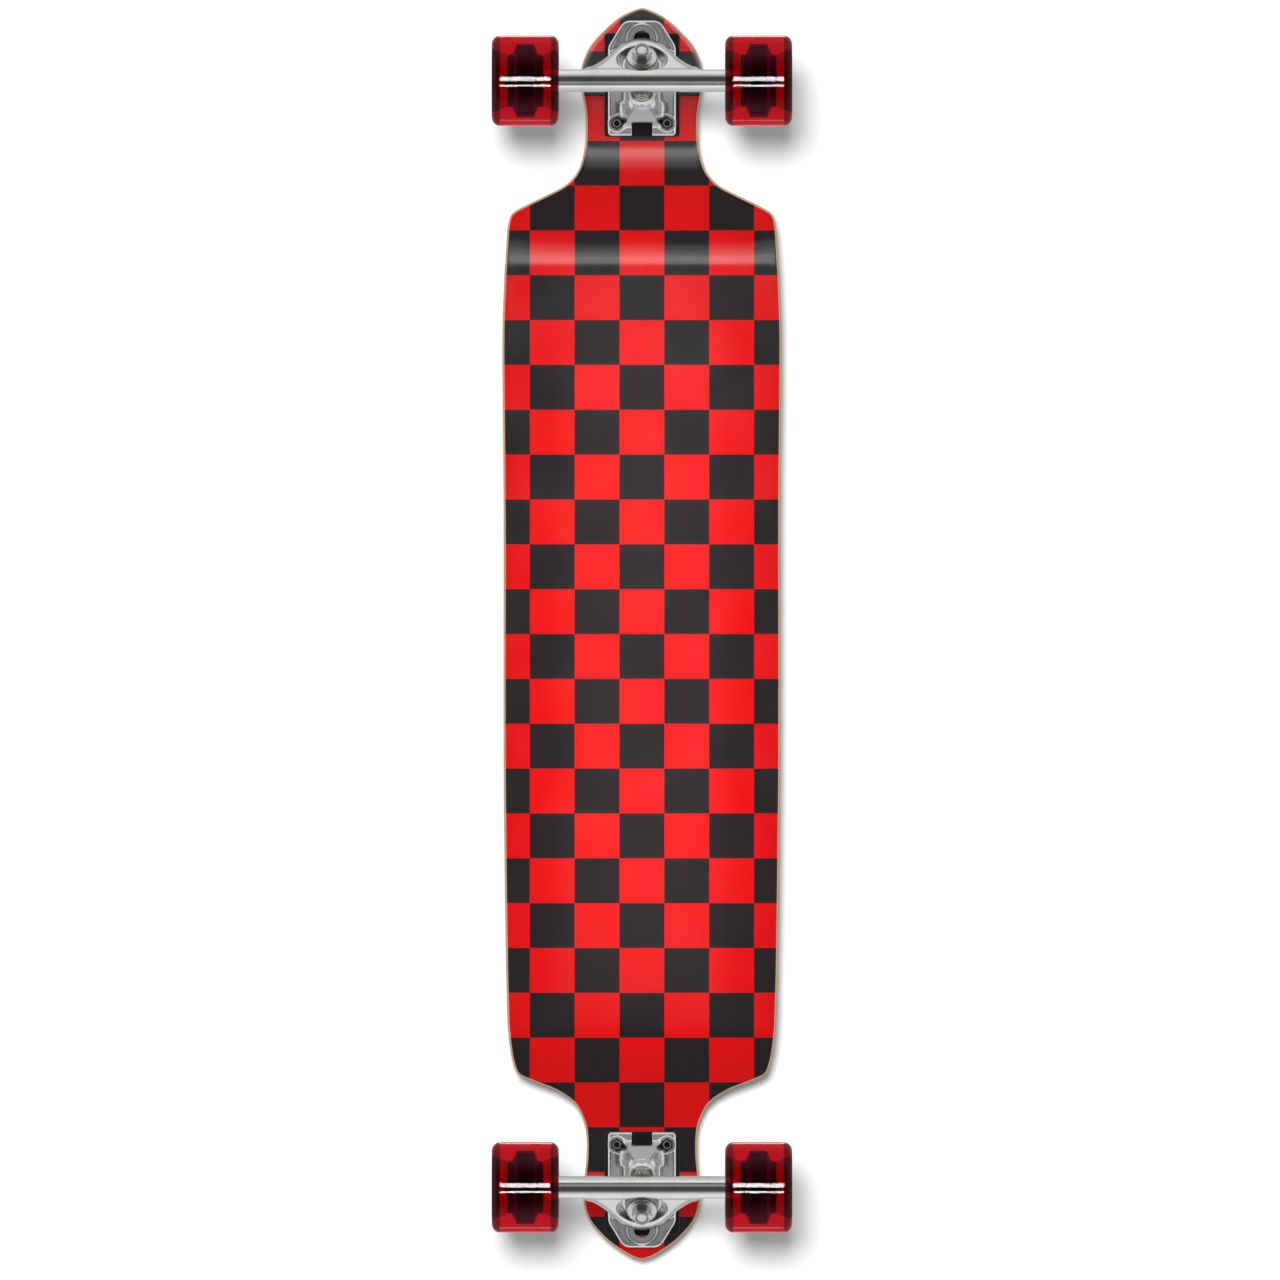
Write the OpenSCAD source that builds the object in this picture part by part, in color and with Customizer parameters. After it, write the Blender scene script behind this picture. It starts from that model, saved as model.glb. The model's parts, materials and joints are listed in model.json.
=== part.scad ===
// Longboard skateboard with a dropped deck, reverse-kingpin trucks and soft wheels.
// +X points to the nose, +Z up, and the origin lies on the ground under the middle of the board.

/* [Deck] */
// Length of the deck, tip to tip
deck_len = 1028; // [1000:1:1050]
// Greatest width of the deck
deck_w = 229; // [222:1:234]
// Thickness of the maple laminate
deck_t = 11; // [10:0.5:12]
// Thickness of the grip tape
grip_t = 1; // [0.8:0.1:1.2]
// How far the standing platform lies below the truck heads
drop = 17; // [12:1:20]
// How far the concave lifts the rails of the platform
concave = 7; // [4:1:9]

/* [Trucks] */
// Distance between the two axles
wheel_base = 906; // [900:1:912]
// Height from the axle to the truck's mounting face
truck_h = 66; // [66:0.5:68]
// Thickness of the riser pad
riser_t = 3; // [2:0.5:4]
// Length of the hanger
hanger_w = 165; // [165:0.5:166]
// Diameter of the axle housing
housing_d = 18.5; // [17:0.5:18.5]

/* [Wheels] */
// Radius of the tyre
wheel_r = 37; // [35:0.5:38]
// Width of the tyre
tyre_w = 55; // [52:0.5:56]
// Radius of the rounded lips
lip_r = 7; // [4:0.5:8]

/* [Hidden] */
$fn = 64;

// ---- Heights ----
mount_z = wheel_r + truck_h;
head_z = mount_z + riser_t;

// ---- Deck outline and profile ----
// Half outline from nose to tail at full size: place along the deck, half width there
half_outline = [
    [513.5, 3], [511, 9.5], [506, 19], [496, 30.5], [480, 44], [458, 50.5], [428, 46.5], [404, 46.5],
    [388, 49.5], [377, 54.5], [368, 63.5], [360, 78.5], [352, 95], [345, 106.5], [335, 110], [320, 111.2],
    [306, 112], [290, 113], [235, 114.5], [100, 113.5], [-100, 113.5], [-240, 112], [-312, 110.5],
    [-328, 109.5], [-341, 108], [-353, 105.5], [-362, 101], [-368, 88], [-375, 70.5], [-385, 56],
    [-397, 49], [-410, 45.7], [-430, 45.5], [-461, 48.2], [-480, 44], [-495, 32], [-505, 19.5],
    [-511, 9.5], [-513.5, 3]
];
outline_steps = 2;
len_scale = deck_len / 1028;
width_scale = deck_w / 229;
// Bends of the drop, as distances from the middle: head side and platform side
nose_bends = [388, 314];
tail_bends = [396, 334];
bend_run = 13;
// Half width of the flat middle of the platform
flat_half = 72;
// Edge rounding under and on top of the deck
round_under = 2.2;
round_top = 3;
// Columns of the deck's surface grid, as fractions of the half width
columns = [-1, -0.93, -0.85, -0.76, -0.62, 0.62, 0.76, 0.85, 0.93, 1];

function spline(p, q, r, s, t) =
    0.5 * (2 * q + (r - p) * t + (2 * p - 5 * q + 4 * r - s) * t * t
           + (3 * q - p - 3 * r + s) * t * t * t);

rail_end = half_outline[len(half_outline) - 1];
rail = [
    for (i = [0 : len(half_outline) - 2], k = [0 : outline_steps - 1])
        let (last = len(half_outline) - 1)
        let (at = spline(half_outline[max(i - 1, 0)], half_outline[i], half_outline[i + 1],
                         half_outline[min(i + 2, last)], k / outline_steps))
        [at[0] * len_scale, at[1] * width_scale],
    [rail_end[0] * len_scale, rail_end[1] * width_scale]
];
rows = len(rail);

function rail_normal(i) =
    let (d = rail[min(i + 1, rows - 1)] - rail[max(i - 1, 0)])
    [d[1], -d[0]] / norm(d);
function inset_rail(i, e) = rail[i] - e * rail_normal(i);

function ramp(x) =
    x < -bend_run ? 0 : x > bend_run ? x : (x + bend_run) * (x + bend_run) / (4 * bend_run);
function lowered(x, bends) =
    (ramp(bends[0] * len_scale - x) - ramp(bends[1] * len_scale - x)) / ((bends[0] - bends[1]) * len_scale);
function level(x) = x > 0 ? lowered(x, nose_bends) : lowered(-x, tail_bends);
function lift(y) = pow(max(abs(y) - flat_half, 0) / (deck_w / 2 - flat_half), 2);
// Height of the deck's underside
function under_z(x, y) = head_z + level(x) * (concave * lift(y) - drop);

function grid_row(i, e, z) =
    let (edge = inset_rail(i, e))
    [for (c = columns) [edge[0], c * edge[1], under_z(edge[0], c * edge[1]) + z]];
function backwards(list) = [for (k = [len(list) - 1 : -1 : 0]) list[k]];
function flat_list(lists) = [for (l = lists, p = l) p];

function rim_point(i, side, z) = [rail[i][0], side * rail[i][1], under_z(rail[i][0], rail[i][1]) + z];
function deck_ring(i) = concat(
    grid_row(i, round_under, 0),
    [rim_point(i, 1, round_under), rim_point(i, 1, deck_t - round_top)],
    backwards(grid_row(i, round_top, deck_t)),
    [rim_point(i, -1, deck_t - round_top), rim_point(i, -1, round_under)]
);
function grip_ring(i) = concat(
    grid_row(i, round_top, deck_t),
    backwards(grid_row(i, round_top, deck_t + grip_t))
);

// A closed skin over rings of equally many points, with a fan on each end.
// The upper row runs backwards, so flipping its diagonals keeps both skins' triangles alike.
module skin(rings, half, tip) {
    n = len(rings[0]);
    last = len(rings) - 1;
    mid_z = function (ring) (min([for (p = ring) p[2]]) + max([for (p = ring) p[2]])) / 2;
    points = concat(flat_list(rings), [[tip, 0, mid_z(rings[0])], [-tip, 0, mid_z(rings[last])]]);
    top = last * n;
    faces = concat(
        [for (i = [0 : last - 1], k = [0 : n - 1])
            let (a = i * n + k, b = i * n + (k + 1) % n, c = a + n, d = b + n)
            each (k < half ? [[a, b, d], [a, d, c]] : [[a, b, c], [b, d, c]])],
        [for (k = [0 : n - 1]) [len(points) - 2, (k + 1) % n, k]],
        [for (k = [0 : n - 1]) [len(points) - 1, top + k, top + (k + 1) % n]]
    );
    polyhedron(points = points, faces = faces, convexity = 6);
}

// ---- Truck geometry, from the middle of the axle at the mounting face: x outward, z up ----
kingpin_angle = 50;
pin_dir = [cos(kingpin_angle), 0, -sin(kingpin_angle)];
steer_dir = [sin(kingpin_angle), 0, cos(kingpin_angle)];
ring_at = [9, 0, -36];
pivot_at = ring_at - 28 * steer_dir;
axle_at = [0, 0, -truck_h];
// The pivot's neck and its cup face outward, this far below the horizontal
neck_dip = 35;
// Truck bolt pattern
bolts_x = [-34, 20];
bolt_y = 20.65;
plate_t = 6;
bolt_r = 2.4;
// Stations along the kingpin, measured from the ring's middle
ring_half = 5.5;
seat_depth = 1;
under_bushing_end = -19.5;
seat_face = -21;
head_face = -27;
over_bushing_end = 16.5;
cup_top = 18.5;
kingpin_end = 25.6;
// Gap left between the ring and its bushings
bushing_gap = 0.05;
ring_seat = ring_half - seat_depth + bushing_gap;
kingpin_r = 4.76;
pivot_r = 5;
cup_r = 7.2;
boss_r = 10.6;
cup_rim = 2.4;
vent_r = 1;

module on_truck(end) {
    translate([end * wheel_base / 2, 0, mount_z]) rotate([0, 0, end > 0 ? 0 : 180]) children();
}
module along_kingpin(t = 0) {
    translate(ring_at) rotate([0, 90 + kingpin_angle, 0]) translate([0, 0, t]) children();
}
module along_neck(t = 0) {
    translate(pivot_at) rotate([0, 90 + neck_dip, 0]) translate([0, 0, t]) children();
}
module along_steering(t = 0) {
    translate(pivot_at) rotate([0, kingpin_angle, 0]) translate([0, 0, t]) children();
}
module at_bolts() {
    for (x = bolts_x, side = [-1, 1]) translate([x, side * bolt_y, 0]) children();
}
// A profile drawn in x and z, given a width along y
module side_prism(points, width) {
    translate([0, width / 2, 0]) rotate([90, 0, 0]) linear_extrude(width) polygon(points);
}
function arc(x, y, r, from, to) =
    [for (k = [0 : 5]) let (a = from + (to - from) * k / 5) [x + r * cos(a), y + r * sin(a)]];
function plan(v) = [v[0], v[2]];
function beside_ring(s, t) = plan(ring_at + s * steer_dir + t * pin_dir);

// ---- Deck parts ----
module bolt_holes(r) {
    for (end = [-1, 1]) on_truck(end) at_bolts() translate([0, 0, -1]) cylinder(r = r, h = deck_t + 20);
}
module deck() {
    color([0.78, 0.60, 0.42])
    difference() {
        skin([for (i = [0 : rows - 1]) deck_ring(i)], len(columns), deck_len / 2);
        bolt_holes(bolt_r + 0.2);
        for (end = [-1, 1]) on_truck(end) at_bolts()
            translate([0, 0, riser_t + deck_t - 3])
                cylinder(r1 = bolt_r + 0.2, r2 = bolt_r + 2.6, h = 3.01);
    }
}
module grip_tape() {
    color([0.10, 0.10, 0.11])
    difference() {
        skin([for (i = [0 : rows - 1]) grip_ring(i)], len(columns), rail[0][0] - round_top + 0.5);
        bolt_holes(bolt_r + 2.8);
    }
}

// ---- Truck parts on the deck ----
pad_x = [-44.7, 40.2];
pad_half = 30.8;
plate_x = [-44, 50.4];
plate_half = 27.8;
// Notch at the plate's inner end
notch_half = 8.35;
notch_len = 10.4;

riser_outline = concat(
    arc(pad_x[1] - 3, pad_half - 3, 3, 0, 90), arc(pad_x[0] + 3, pad_half - 3, 3, 90, 180),
    arc(pad_x[0] + 3, 3 - pad_half, 3, 180, 270), arc(pad_x[1] - 3, 3 - pad_half, 3, 270, 360)
);
plate_outline = concat(
    arc(plate_x[1] - 9.5, 9.5, 9.5, 0, 57), arc(25.5, plate_half - 14, 14, 52, 90),
    arc(plate_x[0] + 3, plate_half - 3, 3, 90, 180), arc(plate_x[0] + 3, 3 - plate_half, 3, 180, 270),
    arc(25.5, 14 - plate_half, 14, 270, 308), arc(plate_x[1] - 9.5, -9.5, 9.5, 303, 360)
);

module riser_pad() {
    color([0.06, 0.06, 0.06])
    difference() {
        linear_extrude(riser_t) polygon(riser_outline);
        at_bolts() translate([0, 0, -1]) cylinder(r = bolt_r + 0.2, h = riser_t + 2);
    }
}

seat_profile = [
    [16, -plate_t + 1], beside_ring(15, seat_face), beside_ring(-14, seat_face),
    beside_ring(-17, seat_face - 3), [-36, -plate_t + 1]
];
seat_w = 27;
// The column seen from the side, and seen along the board: slender at the pivot, spread at the plate
column_profile = [
    [-36, -plate_t + 1], [-33, -24], [-23, -51], [-14, -53], [-14, -44], beside_ring(-16.5, seat_face + 1),
    [-20, -plate_t + 1]
];
flank_profile = [
    [17, -plate_t + 1], [17, -plate_t], [11.5, -12], [8, -22], [6.2, -34], [6.2, -60],
    [-6.2, -60], [-6.2, -34], [-8, -22], [-11.5, -12], [-17, -plate_t], [-17, -plate_t + 1]
];
module column() {
    intersection() {
        side_prism(column_profile, 40);
        translate([-50, 0, 0]) rotate([90, 0, 90]) linear_extrude(50) polygon(flank_profile);
    }
}
module baseplate() {
    color([0.72, 0.73, 0.74])
    difference() {
        union() {
            translate([0, 0, -plate_t]) linear_extrude(plate_t) polygon(plate_outline);
            side_prism(seat_profile, seat_w);
            column();
            translate(pivot_at) sphere(r = boss_r);
            translate([35.3, 0, -plate_t - 2]) cylinder(r = 12.7, h = 3);
            at_bolts() translate([0, 0, -plate_t - 0.8]) cylinder(r = 7, h = 1.8);
        }
        along_kingpin(head_face - 30) cylinder(r = kingpin_r + 0.05, h = 60);
        along_kingpin(head_face - 30) rotate([0, 0, 30]) cylinder(r = 8.9, h = 30, $fn = 6);
        translate(pivot_at) sphere(r = cup_r);
        along_neck(cup_rim) cylinder(r = boss_r + 3, h = 20);
        along_steering(-boss_r - 10) cylinder(r = vent_r, h = boss_r + 10);
        at_bolts() translate([0, 0, -plate_t - 1]) cylinder(r = bolt_r + 0.2, h = plate_t + 2);
        translate([35.3, 0, -plate_t - 3]) cylinder(r = 6.6, h = plate_t + 4);
        translate([plate_x[0] - 1, -notch_half, -plate_t - 30])
            cube([notch_len + 1, 2 * notch_half, plate_t + 31]);
    }
}
module pivot_cup() {
    color([0.93, 0.89, 0.72])
    difference() {
        translate(pivot_at) sphere(r = cup_r);
        translate(pivot_at) sphere(r = pivot_r + 0.05);
        along_neck(cup_rim) cylinder(r = boss_r, h = 20);
    }
}
module kingpin() {
    color([0.62, 0.62, 0.63])
    along_kingpin() {
        translate([0, 0, head_face - 1]) cylinder(r = kingpin_r, h = kingpin_end - head_face);
        translate([0, 0, kingpin_end - 1]) cylinder(r1 = kingpin_r, r2 = kingpin_r - 1, h = 1);
        translate([0, 0, head_face - 6.4]) rotate([0, 0, 30]) cylinder(r = 8.25, h = 6.4, $fn = 6);
    }
}
module kingpin_nut() {
    color([0.55, 0.55, 0.56])
    along_kingpin(cup_top)
    difference() {
        union() {
            cylinder(r = 8.25, h = 6.5, $fn = 6);
            cylinder(r = 6.6, h = 8.5);
        }
        translate([0, 0, -1]) cylinder(r = kingpin_r, h = 12);
    }
}
module boardside_washer() {
    color([0.66, 0.66, 0.67])
    along_kingpin(seat_face)
    difference() {
        cylinder(r = 12.25, h = under_bushing_end - seat_face);
        translate([0, 0, -1]) cylinder(r = kingpin_r + 0.15, h = 4);
    }
}
module bushing(profile) {
    color([0.93, 0.89, 0.72]) along_kingpin() rotate_extrude() polygon(profile);
}
module boardside_bushing() {
    bushing([
        [kingpin_r + 0.1, under_bushing_end], [12.5, under_bushing_end], [13.8, under_bushing_end + 1.5],
        [13.8, -ring_seat - 1.2], [13, -ring_seat], [kingpin_r + 0.1, -ring_seat]
    ]);
}
module roadside_bushing() {
    bushing([
        [kingpin_r + 0.1, ring_seat], [13, ring_seat], [13.8, ring_seat + 1.2],
        [13.8, 12], [10.4, 14.2], [10.4, over_bushing_end], [kingpin_r + 0.1, over_bushing_end]
    ]);
}
module roadside_washer() {
    color([0.72, 0.72, 0.73])
    along_kingpin()
    rotate_extrude()
    polygon([
        [kingpin_r + 0.15, over_bushing_end], [10.5, over_bushing_end], [10.5, 15.2], [12.25, 14.6],
        [12.25, cup_top - 1], [11.25, cup_top], [kingpin_r + 0.15, cup_top]
    ]);
}
bolt_tail = plate_t + 7.5;
head_at = riser_t + deck_t - 0.2;
module mounting_bolts() {
    color([0.2, 0.2, 0.21])
    at_bolts()
    difference() {
        union() {
            translate([0, 0, -bolt_tail]) cylinder(r = bolt_r, h = bolt_tail + head_at - 2.4);
            translate([0, 0, head_at - 2.5]) cylinder(r1 = bolt_r, r2 = bolt_r + 2.3, h = 2.5);
            translate([0, 0, head_at]) cylinder(r = bolt_r + 2.3, h = grip_t);
        }
        translate([0, 0, head_at - 1.2]) cylinder(r = 1.8, h = 4, $fn = 6);
    }
}
module mounting_nuts() {
    color([0.35, 0.35, 0.36])
    at_bolts()
    translate([0, 0, -plate_t - 0.8])
    difference() {
        union() {
            translate([0, 0, -4.4]) cylinder(r = 5.4, h = 4.4, $fn = 6);
            translate([0, 0, -5.8]) cylinder(r = 4.3, h = 2);
        }
        translate([0, 0, -7]) cylinder(r = bolt_r, h = 8);
    }
}

// ---- Hanger parts ----
ring_reach = 30;
web_profile = [
    beside_ring(ring_reach, -ring_half), beside_ring(ring_reach, ring_half), [8, -truck_h - 4.4],
    [-3, -truck_h], beside_ring(-17.5, -ring_half)
];
// Half of the bell seen from the road: distance outward, half width
bell_half = [
    [9.5, 48.4], [12, 41], [15.6, 34.5], [19.4, 29.3], [24, 24.4], [28, 20], [31.4, 15.8], [34.6, 9]
];
bell_outline = concat(
    [[-12, 48.4]], bell_half, [[35.7, 3], [35.7, -3]],
    [for (p = backwards(bell_half)) [p[0], -p[1]]], [[-12, -48.4]]
);
// Bevel behind each wing of the bell: distance to the side, height along the kingpin
wing_bevel = [[15, -12], [15, -ring_half], [50, 24], [50, -12]];
// Flared well over the roadside bushing, which leaves room for its washer as the hanger tilts
well_r = 16.5;

module web() {
    difference() {
        intersection() {
            translate([0, 0, -truck_h - 12]) linear_extrude(truck_h) polygon(bell_outline);
            side_prism(web_profile, 100);
        }
        for (side = [0, 1]) along_kingpin() mirror([0, side, 0])
            translate([-60, 0, 0]) rotate([90, 0, 90]) linear_extrude(120) polygon(wing_bevel);
        along_kingpin(ring_half) cylinder(r1 = well_r, r2 = well_r + 12, h = 40);
        along_kingpin(ring_half - seat_depth) cylinder(r = 14, h = 10);
        along_kingpin(-ring_half - 9) cylinder(r = 14, h = 9 + seat_depth);
        along_kingpin(-10) cylinder(r = 8, h = 20);
        translate(pivot_at) sphere(r = boss_r + 1);
    }
}
module hanger() {
    color([0.80, 0.81, 0.82])
    difference() {
        union() {
            web();
            translate(axle_at) rotate([90, 0, 0]) cylinder(r = housing_d / 2, h = hanger_w, center = true);
            translate(pivot_at) sphere(r = pivot_r);
            along_neck() cylinder(r = 3.4, h = 12);
            along_neck(4) cylinder(r1 = 3.4, r2 = 8, h = 6);
        }
        translate(axle_at) rotate([90, 0, 0]) cylinder(r = 4, h = hanger_w + 2, center = true);
    }
}

// ---- Wheels and bearings, along their own axis from the wheel's middle ----
bearing_w = 7;
bearing_at = 8.5;
pack_half = bearing_at + bearing_w / 2;
wheel_at = hanger_w / 2 + 1 + pack_half;
ball_r = 1.985;
ball_ring = 7.5;
balls = 7;
core_half = 14.45;
core_r = 21.2;
// The core's ridge tapers from its foot to its crown
ridge_foot = 10.6;
ridge_crown = 6.7;
ridge_r = min(29.6, wheel_r - 5);
axle_r = 3.97;

module at_wheels() {
    for (side = [-1, 1]) translate([0, side * wheel_at, -truck_h]) rotate([-90, 0, 0]) children();
}
module at_wheel(end, side) {
    translate([end * wheel_base / 2, side * wheel_at, wheel_r]) rotate([-90, 0, 0]) children();
}
module at_bearings() {
    for (z = [-bearing_at, bearing_at]) translate([0, 0, z]) children();
}
module at_balls() {
    for (k = [0 : balls - 1]) rotate([0, 0, k * 360 / balls]) translate([ball_ring, 0, 0]) children();
}
module tube(outer, inner, from, to) {
    translate([0, 0, from])
    difference() {
        cylinder(r = outer, h = to - from);
        translate([0, 0, -1]) cylinder(r = inner, h = to - from + 2);
    }
}
module axle() {
    color([0.66, 0.66, 0.67])
    translate(axle_at) rotate([90, 0, 0]) {
        cylinder(r = axle_r, h = 2 * wheel_at + 43, center = true);
        for (side = [0, 1]) mirror([0, 0, side])
            translate([0, 0, wheel_at + 21.5]) cylinder(r1 = axle_r, r2 = axle_r - 0.7, h = 0.7);
    }
}
module axle_nuts() {
    color([0.55, 0.55, 0.56])
    for (side = [0, 1]) mirror([0, side, 0])
        translate([0, wheel_at + pack_half + 1, -truck_h]) rotate([-90, 0, 0])
        difference() {
            union() {
                cylinder(r = 7.5, h = 6, $fn = 6);
                cylinder(r = 6, h = 7.8);
            }
            translate([0, 0, -1]) cylinder(r = axle_r, h = 10);
        }
}
module speed_rings() {
    color([0.75, 0.75, 0.76])
    at_wheels() for (side = [0, 1]) mirror([0, 0, side]) tube(5.6, axle_r + 0.05, pack_half, pack_half + 1);
}
module bearing_inner_rings() {
    color([0.70, 0.71, 0.72])
    at_wheels() at_bearings()
    difference() {
        tube(6, axle_r + 0.03, -bearing_w / 2, bearing_w / 2);
        rotate_extrude() translate([ball_ring, 0]) circle(r = ball_r + 0.035);
    }
}
module bearing_spacers() {
    color([0.70, 0.70, 0.71])
    at_wheels() tube(5.2, axle_r + 0.05, bearing_w / 2 - bearing_at, bearing_at - bearing_w / 2);
}
tyre_half = tyre_w / 2;
tyre_profile = concat(
    [[core_r, -core_half], [24, -20], [27, -tyre_half]],
    arc(wheel_r - lip_r, lip_r - tyre_half, lip_r, -90, 0),
    arc(wheel_r - lip_r, tyre_half - lip_r, lip_r, 0, 90),
    [[27, tyre_half], [24, 20], [core_r, core_half], [core_r, ridge_foot], [ridge_r, ridge_crown],
     [ridge_r, -ridge_crown], [core_r, -ridge_foot]]
);
module tyre(end, side) {
    color([0.80, 0.05, 0.08]) at_wheel(end, side) rotate_extrude() polygon(tyre_profile);
}
module core(end, side) {
    color([0.08, 0.08, 0.08])
    at_wheel(end, side)
    rotate_extrude()
    polygon([
        [11, -core_half], [core_r, -core_half], [core_r, -ridge_foot], [ridge_r, -ridge_crown],
        [ridge_r, ridge_crown], [core_r, ridge_foot], [core_r, core_half], [11, core_half],
        [11, bearing_at - bearing_w / 2], [9.6, bearing_at - bearing_w / 2],
        [9.6, bearing_w / 2 - bearing_at], [11, bearing_w / 2 - bearing_at]
    ]);
}
module outer_rings(end, side) {
    color([0.70, 0.71, 0.72])
    at_wheel(end, side) at_bearings()
    difference() {
        tube(11, 9, -bearing_w / 2, bearing_w / 2);
        rotate_extrude() translate([ball_ring, 0]) circle(r = ball_r + 0.035);
        for (face = [0, 1]) mirror([0, 0, face]) translate([0, 0, 3]) cylinder(r = 9.6, h = 1);
    }
}
module shields(end, side) {
    color([0.75, 0.10, 0.10])
    at_wheel(end, side) at_bearings() for (face = [0, 1]) mirror([0, 0, face]) tube(9.6, 6.3, 3, 3.35);
}
module balls(end, side) {
    color([0.80, 0.80, 0.82])
    at_wheel(end, side) at_bearings() at_balls() sphere(r = ball_r);
}
module cages(end, side) {
    color([0.25, 0.25, 0.26])
    at_wheel(end, side) at_bearings()
    difference() {
        tube(8.25, 6.75, -1, 2.7);
        at_balls() sphere(r = ball_r + 0.05);
    }
}

deck();
grip_tape();
on_truck(1) riser_pad();  // front_riser_pad
on_truck(1) baseplate();  // front_baseplate
on_truck(1) pivot_cup();  // front_pivot_cup
on_truck(1) kingpin();  // front_kingpin
on_truck(1) kingpin_nut();  // front_kingpin_nut
on_truck(1) boardside_washer();  // front_boardside_washer
on_truck(1) boardside_bushing();  // front_boardside_bushing
on_truck(1) roadside_bushing();  // front_roadside_bushing
on_truck(1) roadside_washer();  // front_roadside_washer
on_truck(1) mounting_bolts();  // front_mounting_bolts
on_truck(1) mounting_nuts();  // front_mounting_nuts
on_truck(1) hanger();  // front_hanger
on_truck(1) axle();  // front_axle
on_truck(1) axle_nuts();  // front_axle_nuts
on_truck(1) speed_rings();  // front_speed_rings
on_truck(1) bearing_inner_rings();  // front_bearing_inner_rings
on_truck(1) bearing_spacers();  // front_bearing_spacers
on_truck(-1) riser_pad();  // rear_riser_pad
on_truck(-1) baseplate();  // rear_baseplate
on_truck(-1) pivot_cup();  // rear_pivot_cup
on_truck(-1) kingpin();  // rear_kingpin
on_truck(-1) kingpin_nut();  // rear_kingpin_nut
on_truck(-1) boardside_washer();  // rear_boardside_washer
on_truck(-1) boardside_bushing();  // rear_boardside_bushing
on_truck(-1) roadside_bushing();  // rear_roadside_bushing
on_truck(-1) roadside_washer();  // rear_roadside_washer
on_truck(-1) mounting_bolts();  // rear_mounting_bolts
on_truck(-1) mounting_nuts();  // rear_mounting_nuts
on_truck(-1) hanger();  // rear_hanger
on_truck(-1) axle();  // rear_axle
on_truck(-1) axle_nuts();  // rear_axle_nuts
on_truck(-1) speed_rings();  // rear_speed_rings
on_truck(-1) bearing_inner_rings();  // rear_bearing_inner_rings
on_truck(-1) bearing_spacers();  // rear_bearing_spacers
tyre(1, 1);  // front_left_tyre
core(1, 1);  // front_left_core
outer_rings(1, 1);  // front_left_outer_rings
shields(1, 1);  // front_left_shields
balls(1, 1);  // front_left_balls
cages(1, 1);  // front_left_cages
tyre(1, -1);  // front_right_tyre
core(1, -1);  // front_right_core
outer_rings(1, -1);  // front_right_outer_rings
shields(1, -1);  // front_right_shields
balls(1, -1);  // front_right_balls
cages(1, -1);  // front_right_cages
tyre(-1, 1);  // rear_left_tyre
core(-1, 1);  // rear_left_core
outer_rings(-1, 1);  // rear_left_outer_rings
shields(-1, 1);  // rear_left_shields
balls(-1, 1);  // rear_left_balls
cages(-1, 1);  // rear_left_cages
tyre(-1, -1);  // rear_right_tyre
core(-1, -1);  // rear_right_core
outer_rings(-1, -1);  // rear_right_outer_rings
shields(-1, -1);  // rear_right_shields
balls(-1, -1);  // rear_right_balls
cages(-1, -1);  // rear_right_cages
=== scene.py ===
import json
import math

import bpy
import numpy as np
from mathutils import Matrix, Vector


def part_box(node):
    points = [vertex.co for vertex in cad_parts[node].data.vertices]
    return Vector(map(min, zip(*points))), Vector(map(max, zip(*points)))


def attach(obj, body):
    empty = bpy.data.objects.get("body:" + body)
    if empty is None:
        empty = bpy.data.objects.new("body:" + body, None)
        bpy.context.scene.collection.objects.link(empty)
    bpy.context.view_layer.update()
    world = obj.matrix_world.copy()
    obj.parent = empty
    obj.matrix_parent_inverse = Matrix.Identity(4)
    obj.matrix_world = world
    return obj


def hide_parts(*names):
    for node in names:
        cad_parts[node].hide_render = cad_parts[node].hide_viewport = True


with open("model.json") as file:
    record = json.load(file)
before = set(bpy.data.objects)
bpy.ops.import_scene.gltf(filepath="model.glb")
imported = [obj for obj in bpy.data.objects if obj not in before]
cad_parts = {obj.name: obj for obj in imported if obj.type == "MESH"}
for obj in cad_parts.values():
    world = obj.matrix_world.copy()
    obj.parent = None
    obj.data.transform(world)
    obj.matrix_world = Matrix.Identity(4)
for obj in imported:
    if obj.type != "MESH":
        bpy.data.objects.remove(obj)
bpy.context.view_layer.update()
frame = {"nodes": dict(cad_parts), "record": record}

# ---- Places, all from the frame. The corners of boxes are in metres and the rest in millimetres. ----
MM = 0.001
ENDS = (("front", 1), ("rear", -1))
SIDES = (("left", 1), ("right", -1))

joints = {j["name"]: j for j in frame["record"]["behaviour"]["joints"]}
deck_low, deck_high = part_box("deck")
pad_low, pad_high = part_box("front_riser_pad")
tyre_low, tyre_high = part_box("front_left_tyre")
# Heights of the trucks' mounting faces and of the deck's underside, with the riser pads between them
mount_z = pad_low.z / MM
head_z = pad_high.z / MM
pad_t = head_z - mount_z
deck_t = (deck_high.z - pad_high.z) / MM
# How far the middle of the deck lies below its ends
drop = (pad_high.z - deck_low.z) / MM
grip_t = (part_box("grip_tape")[1].z - deck_high.z) / MM
deck_half = deck_high.y / MM
deck_end = deck_high.x / MM
wheel_base = 2 * joints["front_left_spin"]["pos_m"][0] / MM
wheel_y = joints["front_left_spin"]["pos_m"][1] / MM
axle_h = joints["front_left_spin"]["pos_m"][2] / MM - mount_z
wheel_r = (tyre_high.z - tyre_low.z) / 2 / MM
tyre_half = (tyre_high.y - tyre_low.y) / 2 / MM
hanger_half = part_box("front_hanger")[1].y / MM
# A truck: u outward from its axle and along the board, v across, w up from its mounting face
steer = joints["front_steer"]
steer_dir = np.array([steer["axis"][0], 0, steer["axis"][2]])
pin_dir = np.array([steer_dir[2], 0, -steer_dir[0]])
pivot_at = np.array([steer["pos_m"][0] / MM - wheel_base / 2, 0, steer["pos_m"][2] / MM - mount_z])
ring_at = pivot_at + 28 * steer_dir
axle_at = np.array([0, 0, axle_h])
# The neck between the hanger and its pivot dips by this angle
neck_dip = math.radians(35)
neck_dir = np.array([math.cos(neck_dip), 0, -math.sin(neck_dip)])


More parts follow.
